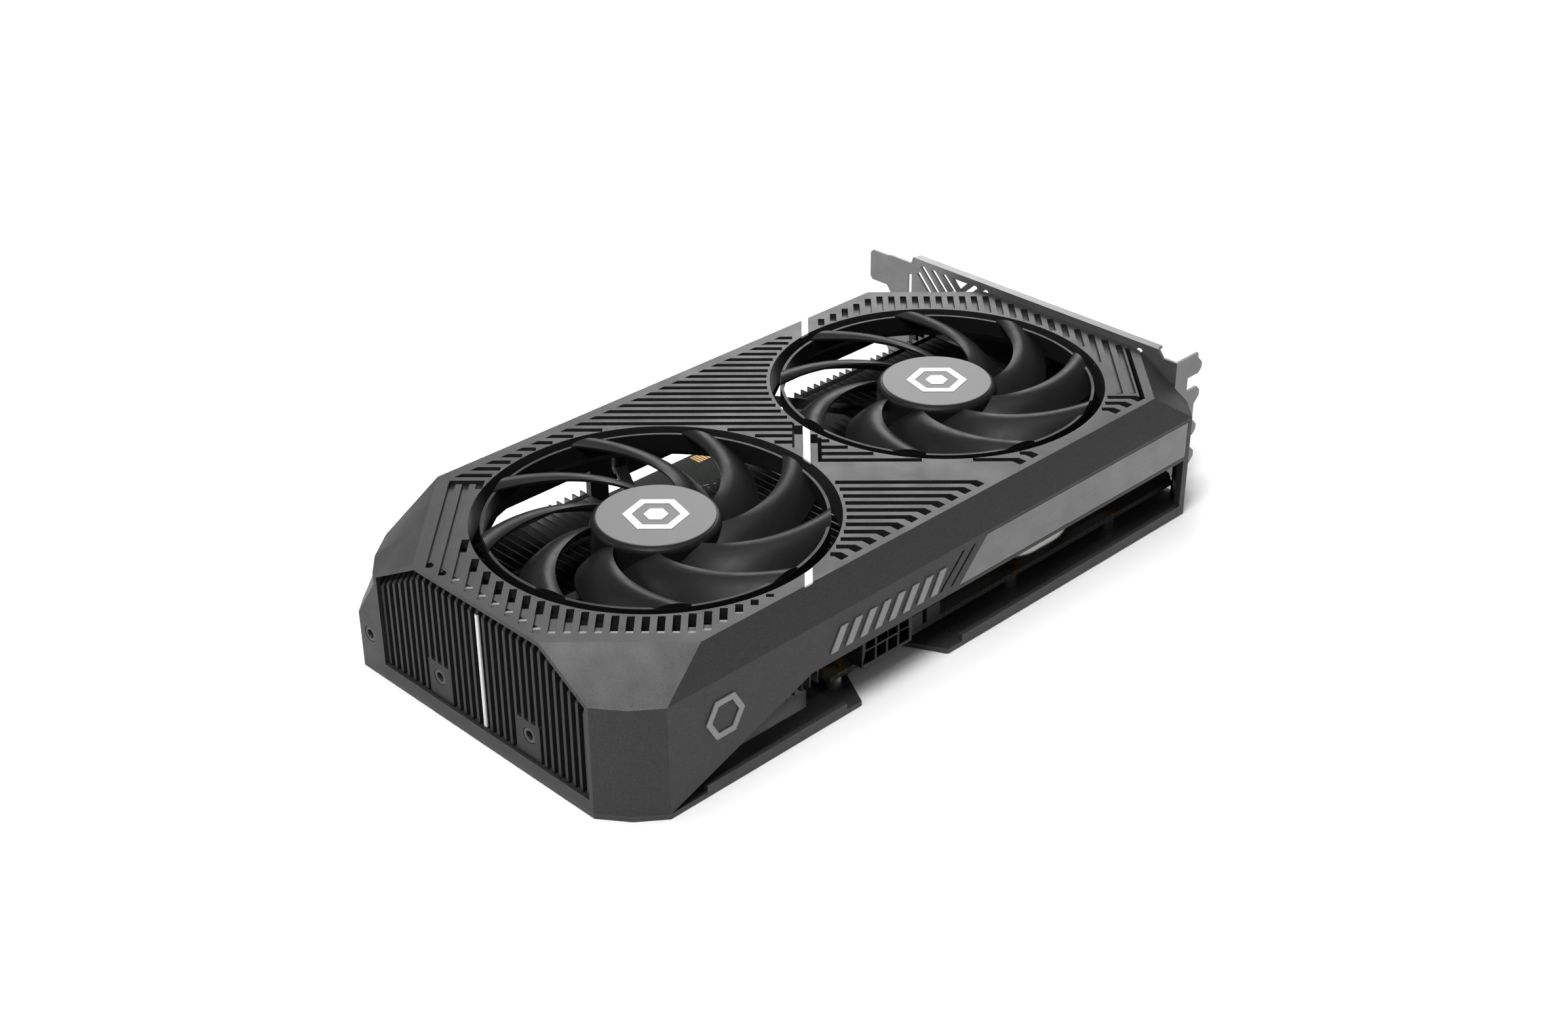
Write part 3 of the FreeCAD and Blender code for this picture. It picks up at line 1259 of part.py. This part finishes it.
def make_bracket():
    face = end_prism(bracket_face(), BRACKET_X, BRACKET_X + SHEET)
    lip = Part.makeBox(2.9, 94.0, SHEET, Vector(BRACKET_X, -35.1, Z1 + 2.3 - SHEET))
    reach = num("tab_reach") + SHEET
    end = BRACKET_X + reach
    tab_points = [(BRACKET_X, Z0)]
    for z in NOTCHES:
        tab_points += [(end - 2.2, z - 7.6), (end, z - 5.4), (end, z - 3.6), (end - 1.4, z - 2.2),
                       (end - 6.5, z - 2.2), (end - 6.5, z + 2.2), (end - 1.4, z + 2.2),
                       (end, z + 3.6), (end, z + 5.4), (end - 2.2, z + 7.6)]
    tab_points += [(end - 2.2, Z1), (BRACKET_X, Z1)]
    tab_points = [(px, min(pz, Z1)) for px, pz in tab_points]
    tab = side_prism(tab_points, BEND, BEND + SHEET)
    solid = face.fuse(lip).fuse(tab)
    for px, py in BRACKET_SCREWS:
        foot = Part.makeBox(BRACKET_X - px + 4, 5.6, SHEET, Vector(px - 4, py - 2.8, BOARD_TOP))
        solid = solid.fuse(foot.cut(Part.makeCylinder(1.6, 4, Vector(px, py, BOARD_TOP - 1))))
    for y, wide, _ in PORTS:
        solid = solid.cut(Part.makeBox(4, wide + 0.3, SHELL_TOP + 0.3, Vector(
            BRACKET_X - 1, y - wide / 2 - 0.15, BOARD_TOP - 0.15)))
    solid = solid.cut(Part.makeCompound(bracket_vents()))
    slit = Part.makeBox(3, 1.6, 9.0, Vector(BRACKET_X - 1, 59.8, 28.8))
    node(shaped("bracket_shape", solid.cut(slit).removeSplitter()), "slot_bracket")
    screws = []
    for index, (px, py) in enumerate(BRACKET_SCREWS):
        head = rod(f"bracket_screw_head_{index}", px, py, BOARD_TOP + SHEET, 2.6, 1.6)
        shank = rod(f"bracket_screw_shank_{index}", px, py, 4.4, 1.45, BOARD_TOP + SHEET + 0.2 - 4.4)
        screws.append(fuse(f"bracket_screw_{index}", [head, shank]))
    node(group("bracket_screw_set", screws), "bracket_screws")


make_bracket()
make_crossbar()
make_leads()

# ---------------------------------------------------------------- checks and files

doc.recompute()
faults = [item.Label for item in doc.Objects
          if any(word in item.State for word in ("Invalid", "Error"))]
for part in NODES:
    shape = part.Shape
    if shape.isNull() or not shape.isValid() or not shape.Solids:
        faults.append(part.Label)
if faults:
    raise RuntimeError("failed objects: " + ", ".join(faults))
for part in NODES:
    part.Shape.exportStep(os.path.join("parts", part.Label + ".step"))
    bounds = part.Shape.BoundBox
    print(f"{part.Label}: {len(part.Shape.Solids)} solids, {part.Shape.Volume:.1f} mm3, "
          f"x {bounds.XMin:.1f}..{bounds.XMax:.1f} y {bounds.YMin:.1f}..{bounds.YMax:.1f} "
          f"z {bounds.ZMin:.1f}..{bounds.ZMax:.1f}")
print(len(NODES), "nodes")
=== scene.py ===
"""Looks of a two-slot graphics card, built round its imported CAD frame.

Metres, in the frame of the part: X runs towards the slot bracket, Y towards the slot connector
and Z up out of the fans. Every CAD node is either rebuilt as a piece with broken edges or keeps
its mesh and gets a new finish. One thin piece is added: the ramps at the tail slots' ends.
"""

import json
import math

import bmesh
import bpy
from mathutils import Matrix, Vector


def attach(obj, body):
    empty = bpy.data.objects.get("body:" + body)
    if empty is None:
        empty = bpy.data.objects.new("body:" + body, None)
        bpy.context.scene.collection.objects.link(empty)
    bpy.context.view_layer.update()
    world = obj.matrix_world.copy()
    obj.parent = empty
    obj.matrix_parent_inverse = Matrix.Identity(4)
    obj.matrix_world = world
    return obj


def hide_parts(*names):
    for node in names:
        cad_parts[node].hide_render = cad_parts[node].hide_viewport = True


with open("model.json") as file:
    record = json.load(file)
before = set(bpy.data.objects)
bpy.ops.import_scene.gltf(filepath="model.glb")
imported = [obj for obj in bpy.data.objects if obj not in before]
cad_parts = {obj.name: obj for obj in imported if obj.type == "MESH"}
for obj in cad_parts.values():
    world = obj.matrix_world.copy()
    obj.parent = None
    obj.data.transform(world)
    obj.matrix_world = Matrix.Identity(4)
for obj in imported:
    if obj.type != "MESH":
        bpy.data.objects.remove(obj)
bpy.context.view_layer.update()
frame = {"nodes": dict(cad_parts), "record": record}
NODES = frame["nodes"]
MM = 0.001

# ---------------------------------------------------------------- camera and light

CAMERA_PLACE = Vector((-363.65, -358.94, 315.16)) * MM
CAMERA_RIGHT = Vector((0.70835, -0.70586, -0.00435))
CAMERA_UP = Vector((0.35358, 0.34948, 0.86767))
LENS, SENSOR = 49.64, 36.0  # millimetres
NEAR, FAR = 0.01, 20.0

SKY_STRENGTH = 0.24
FLOOR_TONE, FLOOR_ROUGHNESS = 0.88, 0.9
FLOOR_REACH = 6.0  # half the side of the floor
FLOOR_DROP = 0.0002  # gap between the card and the floor, so that the two never share a plane

# Each light: its place, the point that it faces, the side of its square and its power in watts.
LIGHTS = {
    "top_soft_light": ((0.0, 0.1, 1.5), (0.0, 0.0, 0.0), 1.0, 11.0),
    "rear_soft_light": ((1.0, 0.95, 0.75), (0.05, 0.0, 0.03), 0.6, 8.5),
    "front_high_light": ((-0.5, -0.22, 1.05), (-0.05, 0.0, 0.03), 0.4, 10.0),
    "tail_low_light": ((-0.76, 0.68, 0.6), (-0.11, 0.0, 0.03), 0.3, 2.0),
}


def make_camera():
    data = bpy.data.cameras.new("camera")
    data.lens = LENS
    data.sensor_width = SENSOR
    data.clip_start = NEAR
    data.clip_end = FAR
    camera = bpy.data.objects.new("camera", data)
    bpy.context.collection.objects.link(camera)
    right = CAMERA_RIGHT.normalized()
    back = right.cross(CAMERA_UP).normalized()
    turn = Matrix((right, back.cross(right), back)).transposed().to_4x4()
    camera.matrix_world = Matrix.Translation(CAMERA_PLACE) @ turn
    bpy.context.scene.camera = camera


def area_light(name, place, target, side, watts):
    data = bpy.data.lights.new(name, "AREA")
    data.shape = "SQUARE"
    data.size = side
    data.energy = watts
    light = bpy.data.objects.new(name, data)
    bpy.context.collection.objects.link(light)
    light.location = place
    aim = Vector(target) - Vector(place)
    light.rotation_euler = aim.to_track_quat("-Z", "Y").to_euler()


def make_sky():
    world = bpy.data.worlds.new("studio")
    bpy.context.scene.world = world
    world.use_nodes = True
    sky = world.node_tree.nodes["Background"]
    sky.inputs["Color"].default_value = (1.0, 1.0, 1.0, 1.0)
    sky.inputs["Strength"].default_value = SKY_STRENGTH


def make_floor():
    mesh = bpy.data.meshes.new("studio_floor")
    corners = [(-FLOOR_REACH, -FLOOR_REACH, 0), (FLOOR_REACH, -FLOOR_REACH, 0),
               (FLOOR_REACH, FLOOR_REACH, 0), (-FLOOR_REACH, FLOOR_REACH, 0)]
    mesh.from_pydata(corners, [], [(0, 1, 2, 3)])
    floor = bpy.data.objects.new("studio_floor", mesh)
    floor.location.z = -FLOOR_DROP
    bpy.context.collection.objects.link(floor)
    paint = bpy.data.materials.new("studio_floor_paint")
    paint.use_nodes = True
    shader = paint.node_tree.nodes["Principled BSDF"]
    shader.inputs["Base Color"].default_value = (FLOOR_TONE, FLOOR_TONE, FLOOR_TONE, 1.0)
    shader.inputs["Roughness"].default_value = FLOOR_ROUGHNESS
    mesh.materials.append(paint)


def make_studio():
    """White floor, pale surroundings and four soft lights."""
    bpy.context.scene.view_settings.view_transform = "Standard"
    make_sky()
    for name, setting in LIGHTS.items():
        area_light(name, *setting)
    make_floor()


# ---------------------------------------------------------------- finishes

NOISE_LOW, NOISE_HIGH = 0.3, 0.7  # most values of a noise texture lie between these
EDGE_START, EDGE_FULL = 0.02, 0.35  # 1 minus the cosine between the true and the rounded normal
EDGE_SAMPLES = 4
MIX_FACTOR, MIX_LOW, MIX_HIGH, MIX_RESULT = 0, 6, 7, 2  # sockets of a Mix node for colours
LONG_GRAIN = 0.02  # scale of a brushed grain along the brushing
CLOUD_RATIO = 25  # width of the broad unevenness of a grained surface, in grains


def grey(level):
    return (level, level, level)


def as_colour(value):
    """A socket as it is, and a tone of three numbers with full opacity."""
    return value if isinstance(value, bpy.types.NodeSocket) else (*value, 1.0)


class Finish:
    """A procedural material: a Principled shader fed by textures in the part's own frame."""

    def __init__(self, name, metallic=0.0, specular=0.5):
        self.material = bpy.data.materials.new(name)
        self.material.use_nodes = True
        self.tree = self.material.node_tree
        self.shader = self.tree.nodes["Principled BSDF"]
        self.shader.inputs["Metallic"].default_value = metallic
        self.shader.inputs["Specular IOR Level"].default_value = specular
        self.place = self.make("ShaderNodeTexCoord").outputs["Object"]

    def make(self, kind, inputs=None, **settings):
        """A new node; an input is either a value or another node's socket, which is linked."""
        item = self.tree.nodes.new(kind)
        for key, value in settings.items():
            setattr(item, key, value)
        for key, value in (inputs or {}).items():
            if isinstance(value, bpy.types.NodeSocket):
                self.tree.links.new(value, item.inputs[key])
            else:
                item.inputs[key].default_value = value
        return item

    def noise(self, grain_mm, detail=3.0, rough=0.5, stretch=None, distortion=0.0):
        """A noise with patches about grain_mm wide, its coordinates scaled by stretch if given."""
        place = self.place
        if stretch:
            scaled = self.make("ShaderNodeMapping", {"Vector": self.place, "Scale": stretch})
            place = scaled.outputs[0]
        item = self.make("ShaderNodeTexNoise", {
            "Vector": place, "Scale": 1.0 / (grain_mm * MM), "Detail": detail,
            "Roughness": rough, "Distortion": distortion})
        return item.outputs["Fac"]

    def ranged(self, value, low_in, high_in, low_out, high_out):
        item = self.make("ShaderNodeMapRange", {
            "Value": value, "From Min": low_in, "From Max": high_in,
            "To Min": low_out, "To Max": high_out})
        return item.outputs["Result"]

    def levels(self, noise, low, high):
        """A number that runs from low to high over the usual range of a noise."""
        return self.ranged(noise, NOISE_LOW, NOISE_HIGH, low, high)

    def tones(self, noise, low, high):
        """A colour that runs from low to high over the usual range of a noise."""
        item = self.make("ShaderNodeValToRGB", {"Fac": noise})
        stops = ((NOISE_LOW, low), (NOISE_HIGH, high))
        for element, (spot, colour) in zip(item.color_ramp.elements, stops):
            element.position = spot
            element.color = as_colour(colour)
        return item.outputs["Color"]

    def blend(self, factor, low, high, mode="MIX"):
        item = self.make("ShaderNodeMix", {
            MIX_FACTOR: factor, MIX_LOW: as_colour(low), MIX_HIGH: as_colour(high)},
            data_type="RGBA", blend_type=mode)
        return item.outputs[MIX_RESULT]

    def times(self, first, second):
        return self.blend(1.0, first, second, "MULTIPLY")

    def added(self, first, second, weight):
        """The first value plus the second one times a weight."""
        item = self.make("ShaderNodeMath", {0: second, 1: weight, 2: first},
                         operation="MULTIPLY_ADD")
        return item.outputs[0]

    def edges(self, radius_mm):
        """1 near sharp edges and 0 on open faces."""
        rounded = self.make("ShaderNodeBevel", {"Radius": radius_mm * MM}, samples=EDGE_SAMPLES)
        true = self.make("ShaderNodeNewGeometry")
        dot = self.make("ShaderNodeVectorMath", {0: rounded.outputs[0], 1: true.outputs["Normal"]},
                        operation="DOT_PRODUCT")
        return self.ranged(dot.outputs["Value"], 1.0 - EDGE_START, 1.0 - EDGE_FULL, 0.0, 1.0)

    def worn(self, tone, radius_mm, gain):
        """The tone, multiplied by a gain near sharp edges."""
        return self.times(tone, self.blend(self.edges(radius_mm), grey(1.0), grey(gain)))

    def drifting(self, tone, cloud, low, high):
        """The tone, multiplied by a factor that runs from low to high over a broad noise."""
        return self.times(tone, self.tones(cloud, grey(low), grey(high)))

    def colour(self, socket):
        self.tree.links.new(socket, self.shader.inputs["Base Color"])

    def rough(self, socket):
        self.tree.links.new(socket, self.shader.inputs["Roughness"])

    def bump(self, height, depth_mm, strength):
        item = self.make("ShaderNodeBump", {
            "Height": height, "Distance": depth_mm * MM, "Strength": strength})
        self.tree.links.new(item.outputs["Normal"], self.shader.inputs["Normal"])


def shroud_plastic():
    """Dark moulded plastic with a fine spark-eroded grain."""
    finish = Finish("shroud_plastic", specular=0.4)
    grain = finish.noise(0.42, rough=0.62)
    cloud = finish.noise(9.0)
    tone = finish.tones(grain, (0.009, 0.009, 0.0093), (0.025, 0.025, 0.0257))
    tone = finish.worn(tone, 0.5, gain=1.35)
    finish.colour(finish.drifting(tone, cloud, 0.94, 1.05))
    finish.rough(finish.levels(cloud, 0.42, 0.5))
    finish.bump(grain, depth_mm=0.045, strength=0.8)
    return finish.material


def grille_plastic():
    """The shroud's plastic in a finer grain and a deeper black."""
    finish = Finish("grille_plastic", specular=0.3)
    grain = finish.noise(0.3, rough=0.6)
    finish.colour(finish.worn(finish.tones(grain, grey(0.008), grey(0.016)), 0.3, gain=1.6))
    finish.rough(finish.levels(grain, 0.42, 0.52))
    finish.bump(grain, depth_mm=0.04, strength=0.6)
    return finish.material


def fan_plastic():
    """Black satin plastic whose gloss drifts in drawn-out patches."""
    finish = Finish("fan_plastic", specular=0.13)
    grain = finish.noise(0.22, rough=0.6)
    flow = finish.noise(6.0, distortion=1.2)
    tone = finish.tones(grain, (0.006, 0.006, 0.0062), (0.011, 0.011, 0.0112))
    finish.colour(finish.worn(tone, 0.35, gain=1.7))
    finish.rough(finish.levels(flow, 0.36, 0.44))
    finish.bump(grain, depth_mm=0.02, strength=0.5)
    return finish.material


def hub_disc_grey():
    """Dark grey satin film with a fine metallic fleck."""
    finish = Finish("hub_disc_grey", metallic=0.15, specular=0.4)
    fleck = finish.noise(0.25, rough=0.7)
    finish.colour(finish.tones(fleck, grey(0.11), grey(0.14)))
    finish.rough(finish.levels(fleck, 0.42, 0.55))
    finish.bump(fleck, depth_mm=0.015, strength=0.5)
    return finish.material


def white_inlay():
    finish = Finish("white_inlay", specular=0.45)
    grain = finish.noise(0.3, rough=0.6)
    finish.colour(finish.tones(grain, grey(0.66), grey(0.72)))
    finish.rough(finish.levels(grain, 0.36, 0.46))
    finish.bump(grain, depth_mm=0.015, strength=0.4)
    return finish.material


def brushed(name, tone, spread, rough, along, grain_mm=0.12, metallic=1.0):
    """Metal brushed along one axis: the grain is long there and fine across."""
    finish = Finish(name, metallic=metallic)
    stretch = tuple(LONG_GRAIN if axis == along else 1.0 for axis in "xyz")
    lines = finish.noise(grain_mm, detail=4.0, rough=0.65, stretch=stretch)
    cloud = finish.noise(7.0)
    shade = finish.tones(lines, grey(tone - spread), grey(tone + spread))
    finish.colour(finish.drifting(shade, cloud, 0.9, 1.08))
    finish.rough(finish.levels(lines, rough - 0.06, rough + 0.08))
    finish.bump(lines, depth_mm=0.012, strength=0.6)
    return finish.material


def cast_grain(name, low, high, rough, grain_mm=0.35, metallic=0.0, depth=0.03, wear=1.4,
               specular=0.5):
    """A surface with an even grain and slightly lighter edges."""
    finish = Finish(name, metallic, specular)
    grain = finish.noise(grain_mm, rough=0.6)
    cloud = finish.noise(grain_mm * CLOUD_RATIO)
    finish.colour(finish.worn(finish.tones(grain, low, high), 0.3, wear))
    finish.rough(finish.levels(cloud, rough - 0.05, rough + 0.06))
    finish.bump(grain, depth, strength=0.6)
    return finish.material


def board_black():
    """Black solder mask over a faint net of copper tracks."""
    finish = Finish("board_black", specular=0.3)
    track_mm = 3.0
    lanes = finish.make("ShaderNodeTexBrick", {
        "Vector": finish.place, "Scale": 1.0 / (track_mm * MM), "Mortar Size": 0.06,
        "Color1": as_colour(grey(0.0)), "Color2": as_colour(grey(0.0)),
        "Mortar": as_colour(grey(1.0))}, offset=0.37, offset_frequency=3, squash=1.7)
    weave = finish.noise(0.4)
    mask, track = (0.012, 0.014, 0.013), (0.03, 0.036, 0.03)
    finish.colour(finish.blend(lanes.outputs["Color"], mask, track))
    finish.rough(finish.levels(weave, 0.8, 0.9))
    height = finish.added(lanes.outputs["Fac"], weave, weight=0.4)
    finish.bump(height, depth_mm=0.03, strength=0.6)
    return finish.material


FINISHES = {
    "shroud_plastic": shroud_plastic(),
    "grille_plastic": grille_plastic(),
    "fan_plastic": fan_plastic(),
    "hub_disc_grey": hub_disc_grey(),
    "white_inlay": white_inlay(),
    "brushed_trim": brushed("brushed_trim", 0.19, 0.035, 0.42, "x"),
    "badge_metal": cast_grain("badge_metal", grey(0.20), grey(0.26), 0.42, metallic=0.4),
    "steel_black": cast_grain("steel_black", grey(0.05), grey(0.08), 0.4, metallic=0.6),
    "backplate_black": cast_grain("backplate_black", grey(0.020), grey(0.034), 0.5, 0.3,
                                  depth=0.04, wear=1.8),
    "board_black": board_black(),
    "gold": cast_grain("gold", (0.24, 0.14, 0.045), (0.3, 0.19, 0.07), 0.45, metallic=1.0,
                       depth=0.01, wear=1.1),
    "nickel": cast_grain("nickel", (0.30, 0.29, 0.275), (0.38, 0.37, 0.35), 0.34, metallic=1.0,
                         depth=0.012, wear=1.15),
    "silicon": cast_grain("silicon", (0.30, 0.31, 0.34), (0.36, 0.37, 0.42), 0.12, metallic=1.0,
                          depth=0.004, wear=1.0),
    "chip_black": cast_grain("chip_black", grey(0.018), grey(0.034), 0.48, 0.18),
    "thermal_pad": cast_grain("thermal_pad", (0.26, 0.29, 0.36), (0.33, 0.37, 0.45), 0.8, 0.5,
                              depth=0.06),
    "ferrite": cast_grain("ferrite", grey(0.06), grey(0.10), 0.55, 0.25, depth=0.05),
    "capacitor_can": cast_grain("capacitor_can", grey(0.55), grey(0.66), 0.3, 0.4, metallic=1.0,
                                depth=0.01, wear=1.1),
    "header_black": cast_grain("header_black", grey(0.006), grey(0.011), 0.4, 0.3, wear=1.15,
                               specular=0.25),
    "copper": cast_grain("copper", (0.70, 0.33, 0.19), (0.82, 0.43, 0.27), 0.3, 0.5, metallic=1.0,
                         depth=0.012, wear=1.1),
    "fin_aluminium": brushed("fin_aluminium", 0.16, 0.04, 0.42, "y"),
    "bracket_steel": brushed("bracket_steel", 0.2, 0.03, 0.46, "y", 0.16, metallic=0.75),
    "shaft_steel": brushed("shaft_steel", 0.6, 0.04, 0.2, "z"),
    "brass_bush": cast_grain("brass_bush", (0.5, 0.36, 0.17), (0.62, 0.46, 0.23), 0.45, 0.2,
                             metallic=1.0),
    "core_steel": brushed("core_steel", 0.3, 0.08, 0.42, "x"),
    "motor_plastic": cast_grain("motor_plastic", grey(0.018), grey(0.03), 0.46, 0.3),
    # Painted highlight: the ramps are of the shroud's dark plastic, painted light grey for the
    # light on their slopes.
    "ramp_painted_highlight": cast_grain("ramp_painted_highlight", grey(0.24), grey(0.3), 0.4, wear=1.1),
    "lead_black": cast_grain("lead_black", grey(0.012), grey(0.02), 0.5, 0.4),
}

# A node has the finish of its slot in the record, apart from the grille, which has its own.
RECORD = frame["record"]
SLOT_OF = {row["node"]: row["material_slot"] for row in RECORD["subparts"]}
FINISH_OF = {node: FINISHES[slot] for node, slot in SLOT_OF.items()}
FINISH_OF["end_grille"] = FINISHES["grille_plastic"]
BODY_OF = {node: body for body, members in RECORD["behaviour"]["bodies"].items()
           for node in members}

# ---------------------------------------------------------------- pieces from CAD nodes

WELD = 0.002 * MM  # points closer than this are one
FLAT = math.radians(0.6)  # faces that meet at less than this angle become one
SHARP = math.radians(28.0)  # edges sharper than this are broken
BEVEL_STEPS = 2

# Width of the broken edges of each rebuilt node, in millimetres.
BEVELS = {
    "fan_shroud": 0.22, "end_grille": 0.12, "accent_fin": 0.12, "backplate": 0.12,
    "slot_bracket": 0.1, "side_trim_plate": 0.1, "side_bars": 0.08, "corner_badge": 0.08,
    "tail_hub_disc": 0.15, "bracket_hub_disc": 0.15, "tail_hub_emblem": 0.04,
    "bracket_hub_emblem": 0.04, "power_header": 0.15, "power_chokes": 0.3,
    "displayport_shells": 0.12, "hdmi_shell": 0.12, "cooler_strap": 0.15,
    "board_standoffs": 0.1, "threaded_inserts": 0.15, "bracket_screws": 0.2,
}


def clean_copy(node):
    """A copy of a CAD node's mesh with welded points and merged flat faces."""
    mesh = bpy.data.meshes.new(node + "_piece")
    work = bmesh.new()
    work.from_mesh(NODES[node].data)
    bmesh.ops.remove_doubles(work, verts=work.verts, dist=WELD)
    bmesh.ops.dissolve_limit(work, angle_limit=FLAT, verts=work.verts, edges=work.edges)
    work.to_mesh(mesh)
    work.free()
    mesh.materials.clear()
    mesh.materials.append(FINISH_OF[node])
    return mesh


def refine(node, bevel_mm):
    """A piece with broken edges, which stands for a CAD node."""
    mesh = clean_copy(node)
    piece = bpy.data.objects.new(node + "_piece", mesh)
    bpy.context.collection.objects.link(piece)
    bevel = piece.modifiers.new("broken_edges", "BEVEL")
    bevel.width = bevel_mm * MM
    bevel.segments = BEVEL_STEPS
    bevel.limit_method = "ANGLE"
    bevel.angle_limit = SHARP
    bevel.use_clamp_overlap = True
    bevel.harden_normals = False
    mesh.shade_smooth()
    mesh.set_sharp_from_angle(angle=SHARP)
    weight = piece.modifiers.new("face_normals", "WEIGHTED_NORMAL")
    weight.keep_sharp = True
    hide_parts(node)
    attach(piece, BODY_OF[node])


def finish_nodes():
    """Every CAD node gets its finish, on its own mesh or on the piece that stands for it."""
    for node, item in NODES.items():
        if node in BEVELS:
            refine(node, BEVELS[node])
            continue
        for place in item.material_slots:
            place.material = FINISH_OF[node]


# ---------------------------------------------------------------- ramps of the tail slots

# Millimetres. The slots run at 45 degrees: "along" is towards +X and +Y, "across" is towards
# +X and -Y. The slots' sizes and ends repeat those of the shroud's CAD.
ROOT2 = math.sqrt(2.0)
TOP, FLOOR_DEPTH = 41.6, 1.3  # height of the shroud's top, depth of its floored slots
FAN_AXIS, RIM = -53.35, 48.2  # X of the tail fan's axis, radius of the rim where slots end
FIRST_ROW, ROWS = -91.4, 25  # first slot's place across, number of places
SLOT_PITCH, SLOT_WIDE = 3.6, 1.9
TAIL_LINE, FRONT_LINE, CORNER_LINE = -108.85, -48.7, -93.0  # X, Y and "along" where slots start
LONGEST, SHORTEST = 2.8, 0.8  # ramp lengths
RIM_GAP = 1.4  # open floor that is left between a ramp and the fan's rim
GAP = 0.02  # between a ramp and the slot's walls and floor
SINK = 0.04  # of a ramp's upper end below the shroud's top


def skewed(along, across, height):
    """A point from its distances along and across the slot pattern."""
    return Vector(((along + across) / ROOT2, (along - across) / ROOT2, height)) * MM


def slot_span(across):
    """Where a tail slot starts and where it meets the fan's rim, or None beside the rim."""
    offset = across - FAN_AXIS / ROOT2
    if abs(offset) >= RIM:
        return None
    start = max(TAIL_LINE * ROOT2 - across, CORNER_LINE, across + FRONT_LINE * ROOT2)
    return start, FAN_AXIS / ROOT2 - math.sqrt(RIM ** 2 - offset ** 2)


def add_ramp(work, across, start, length):
    """A wedge across the slot's width, high at the outer end and down on the floor inside."""
    floor, side = TOP - FLOOR_DEPTH + GAP, SLOT_WIDE / 2 - GAP
    low, high = start + GAP, start + length
    profile = ((low, TOP - SINK), (high, floor), (low, floor))
    near, far = [[work.verts.new(skewed(along, across + edge, z)) for along, z in profile]
                 for edge in (-side, side)]
    work.faces.new(near)
    work.faces.new(reversed(far))
    for step in range(3):
        after = (step + 1) % 3
        work.faces.new((near[step], far[step], far[after], near[after]))


def slot_ramps():
    """Gentle ramps that bring the tail slots' floors up to their outer ends, painted light grey as
    a highlight of their lit slopes.
    """
    work = bmesh.new()
    for index in range(ROWS):
        across = FIRST_ROW + index * SLOT_PITCH
        span = slot_span(across)
        if span is None:
            continue
        start, end = span
        length = min(LONGEST, end - start - RIM_GAP)
        if length >= SHORTEST:
            add_ramp(work, across, start, length)
    bmesh.ops.recalc_face_normals(work, faces=work.faces)
    mesh = bpy.data.meshes.new("slot_ramps")
    work.to_mesh(mesh)
    work.free()
    # painted highlight: the ramps' light grey stands for light falling on their slopes
    mesh.materials.append(FINISHES["ramp_painted_highlight"])
    piece = bpy.data.objects.new("slot_ramps", mesh)
    bpy.context.collection.objects.link(piece)
    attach(piece, "card")


make_camera()
make_studio()
finish_nodes()
slot_ramps()
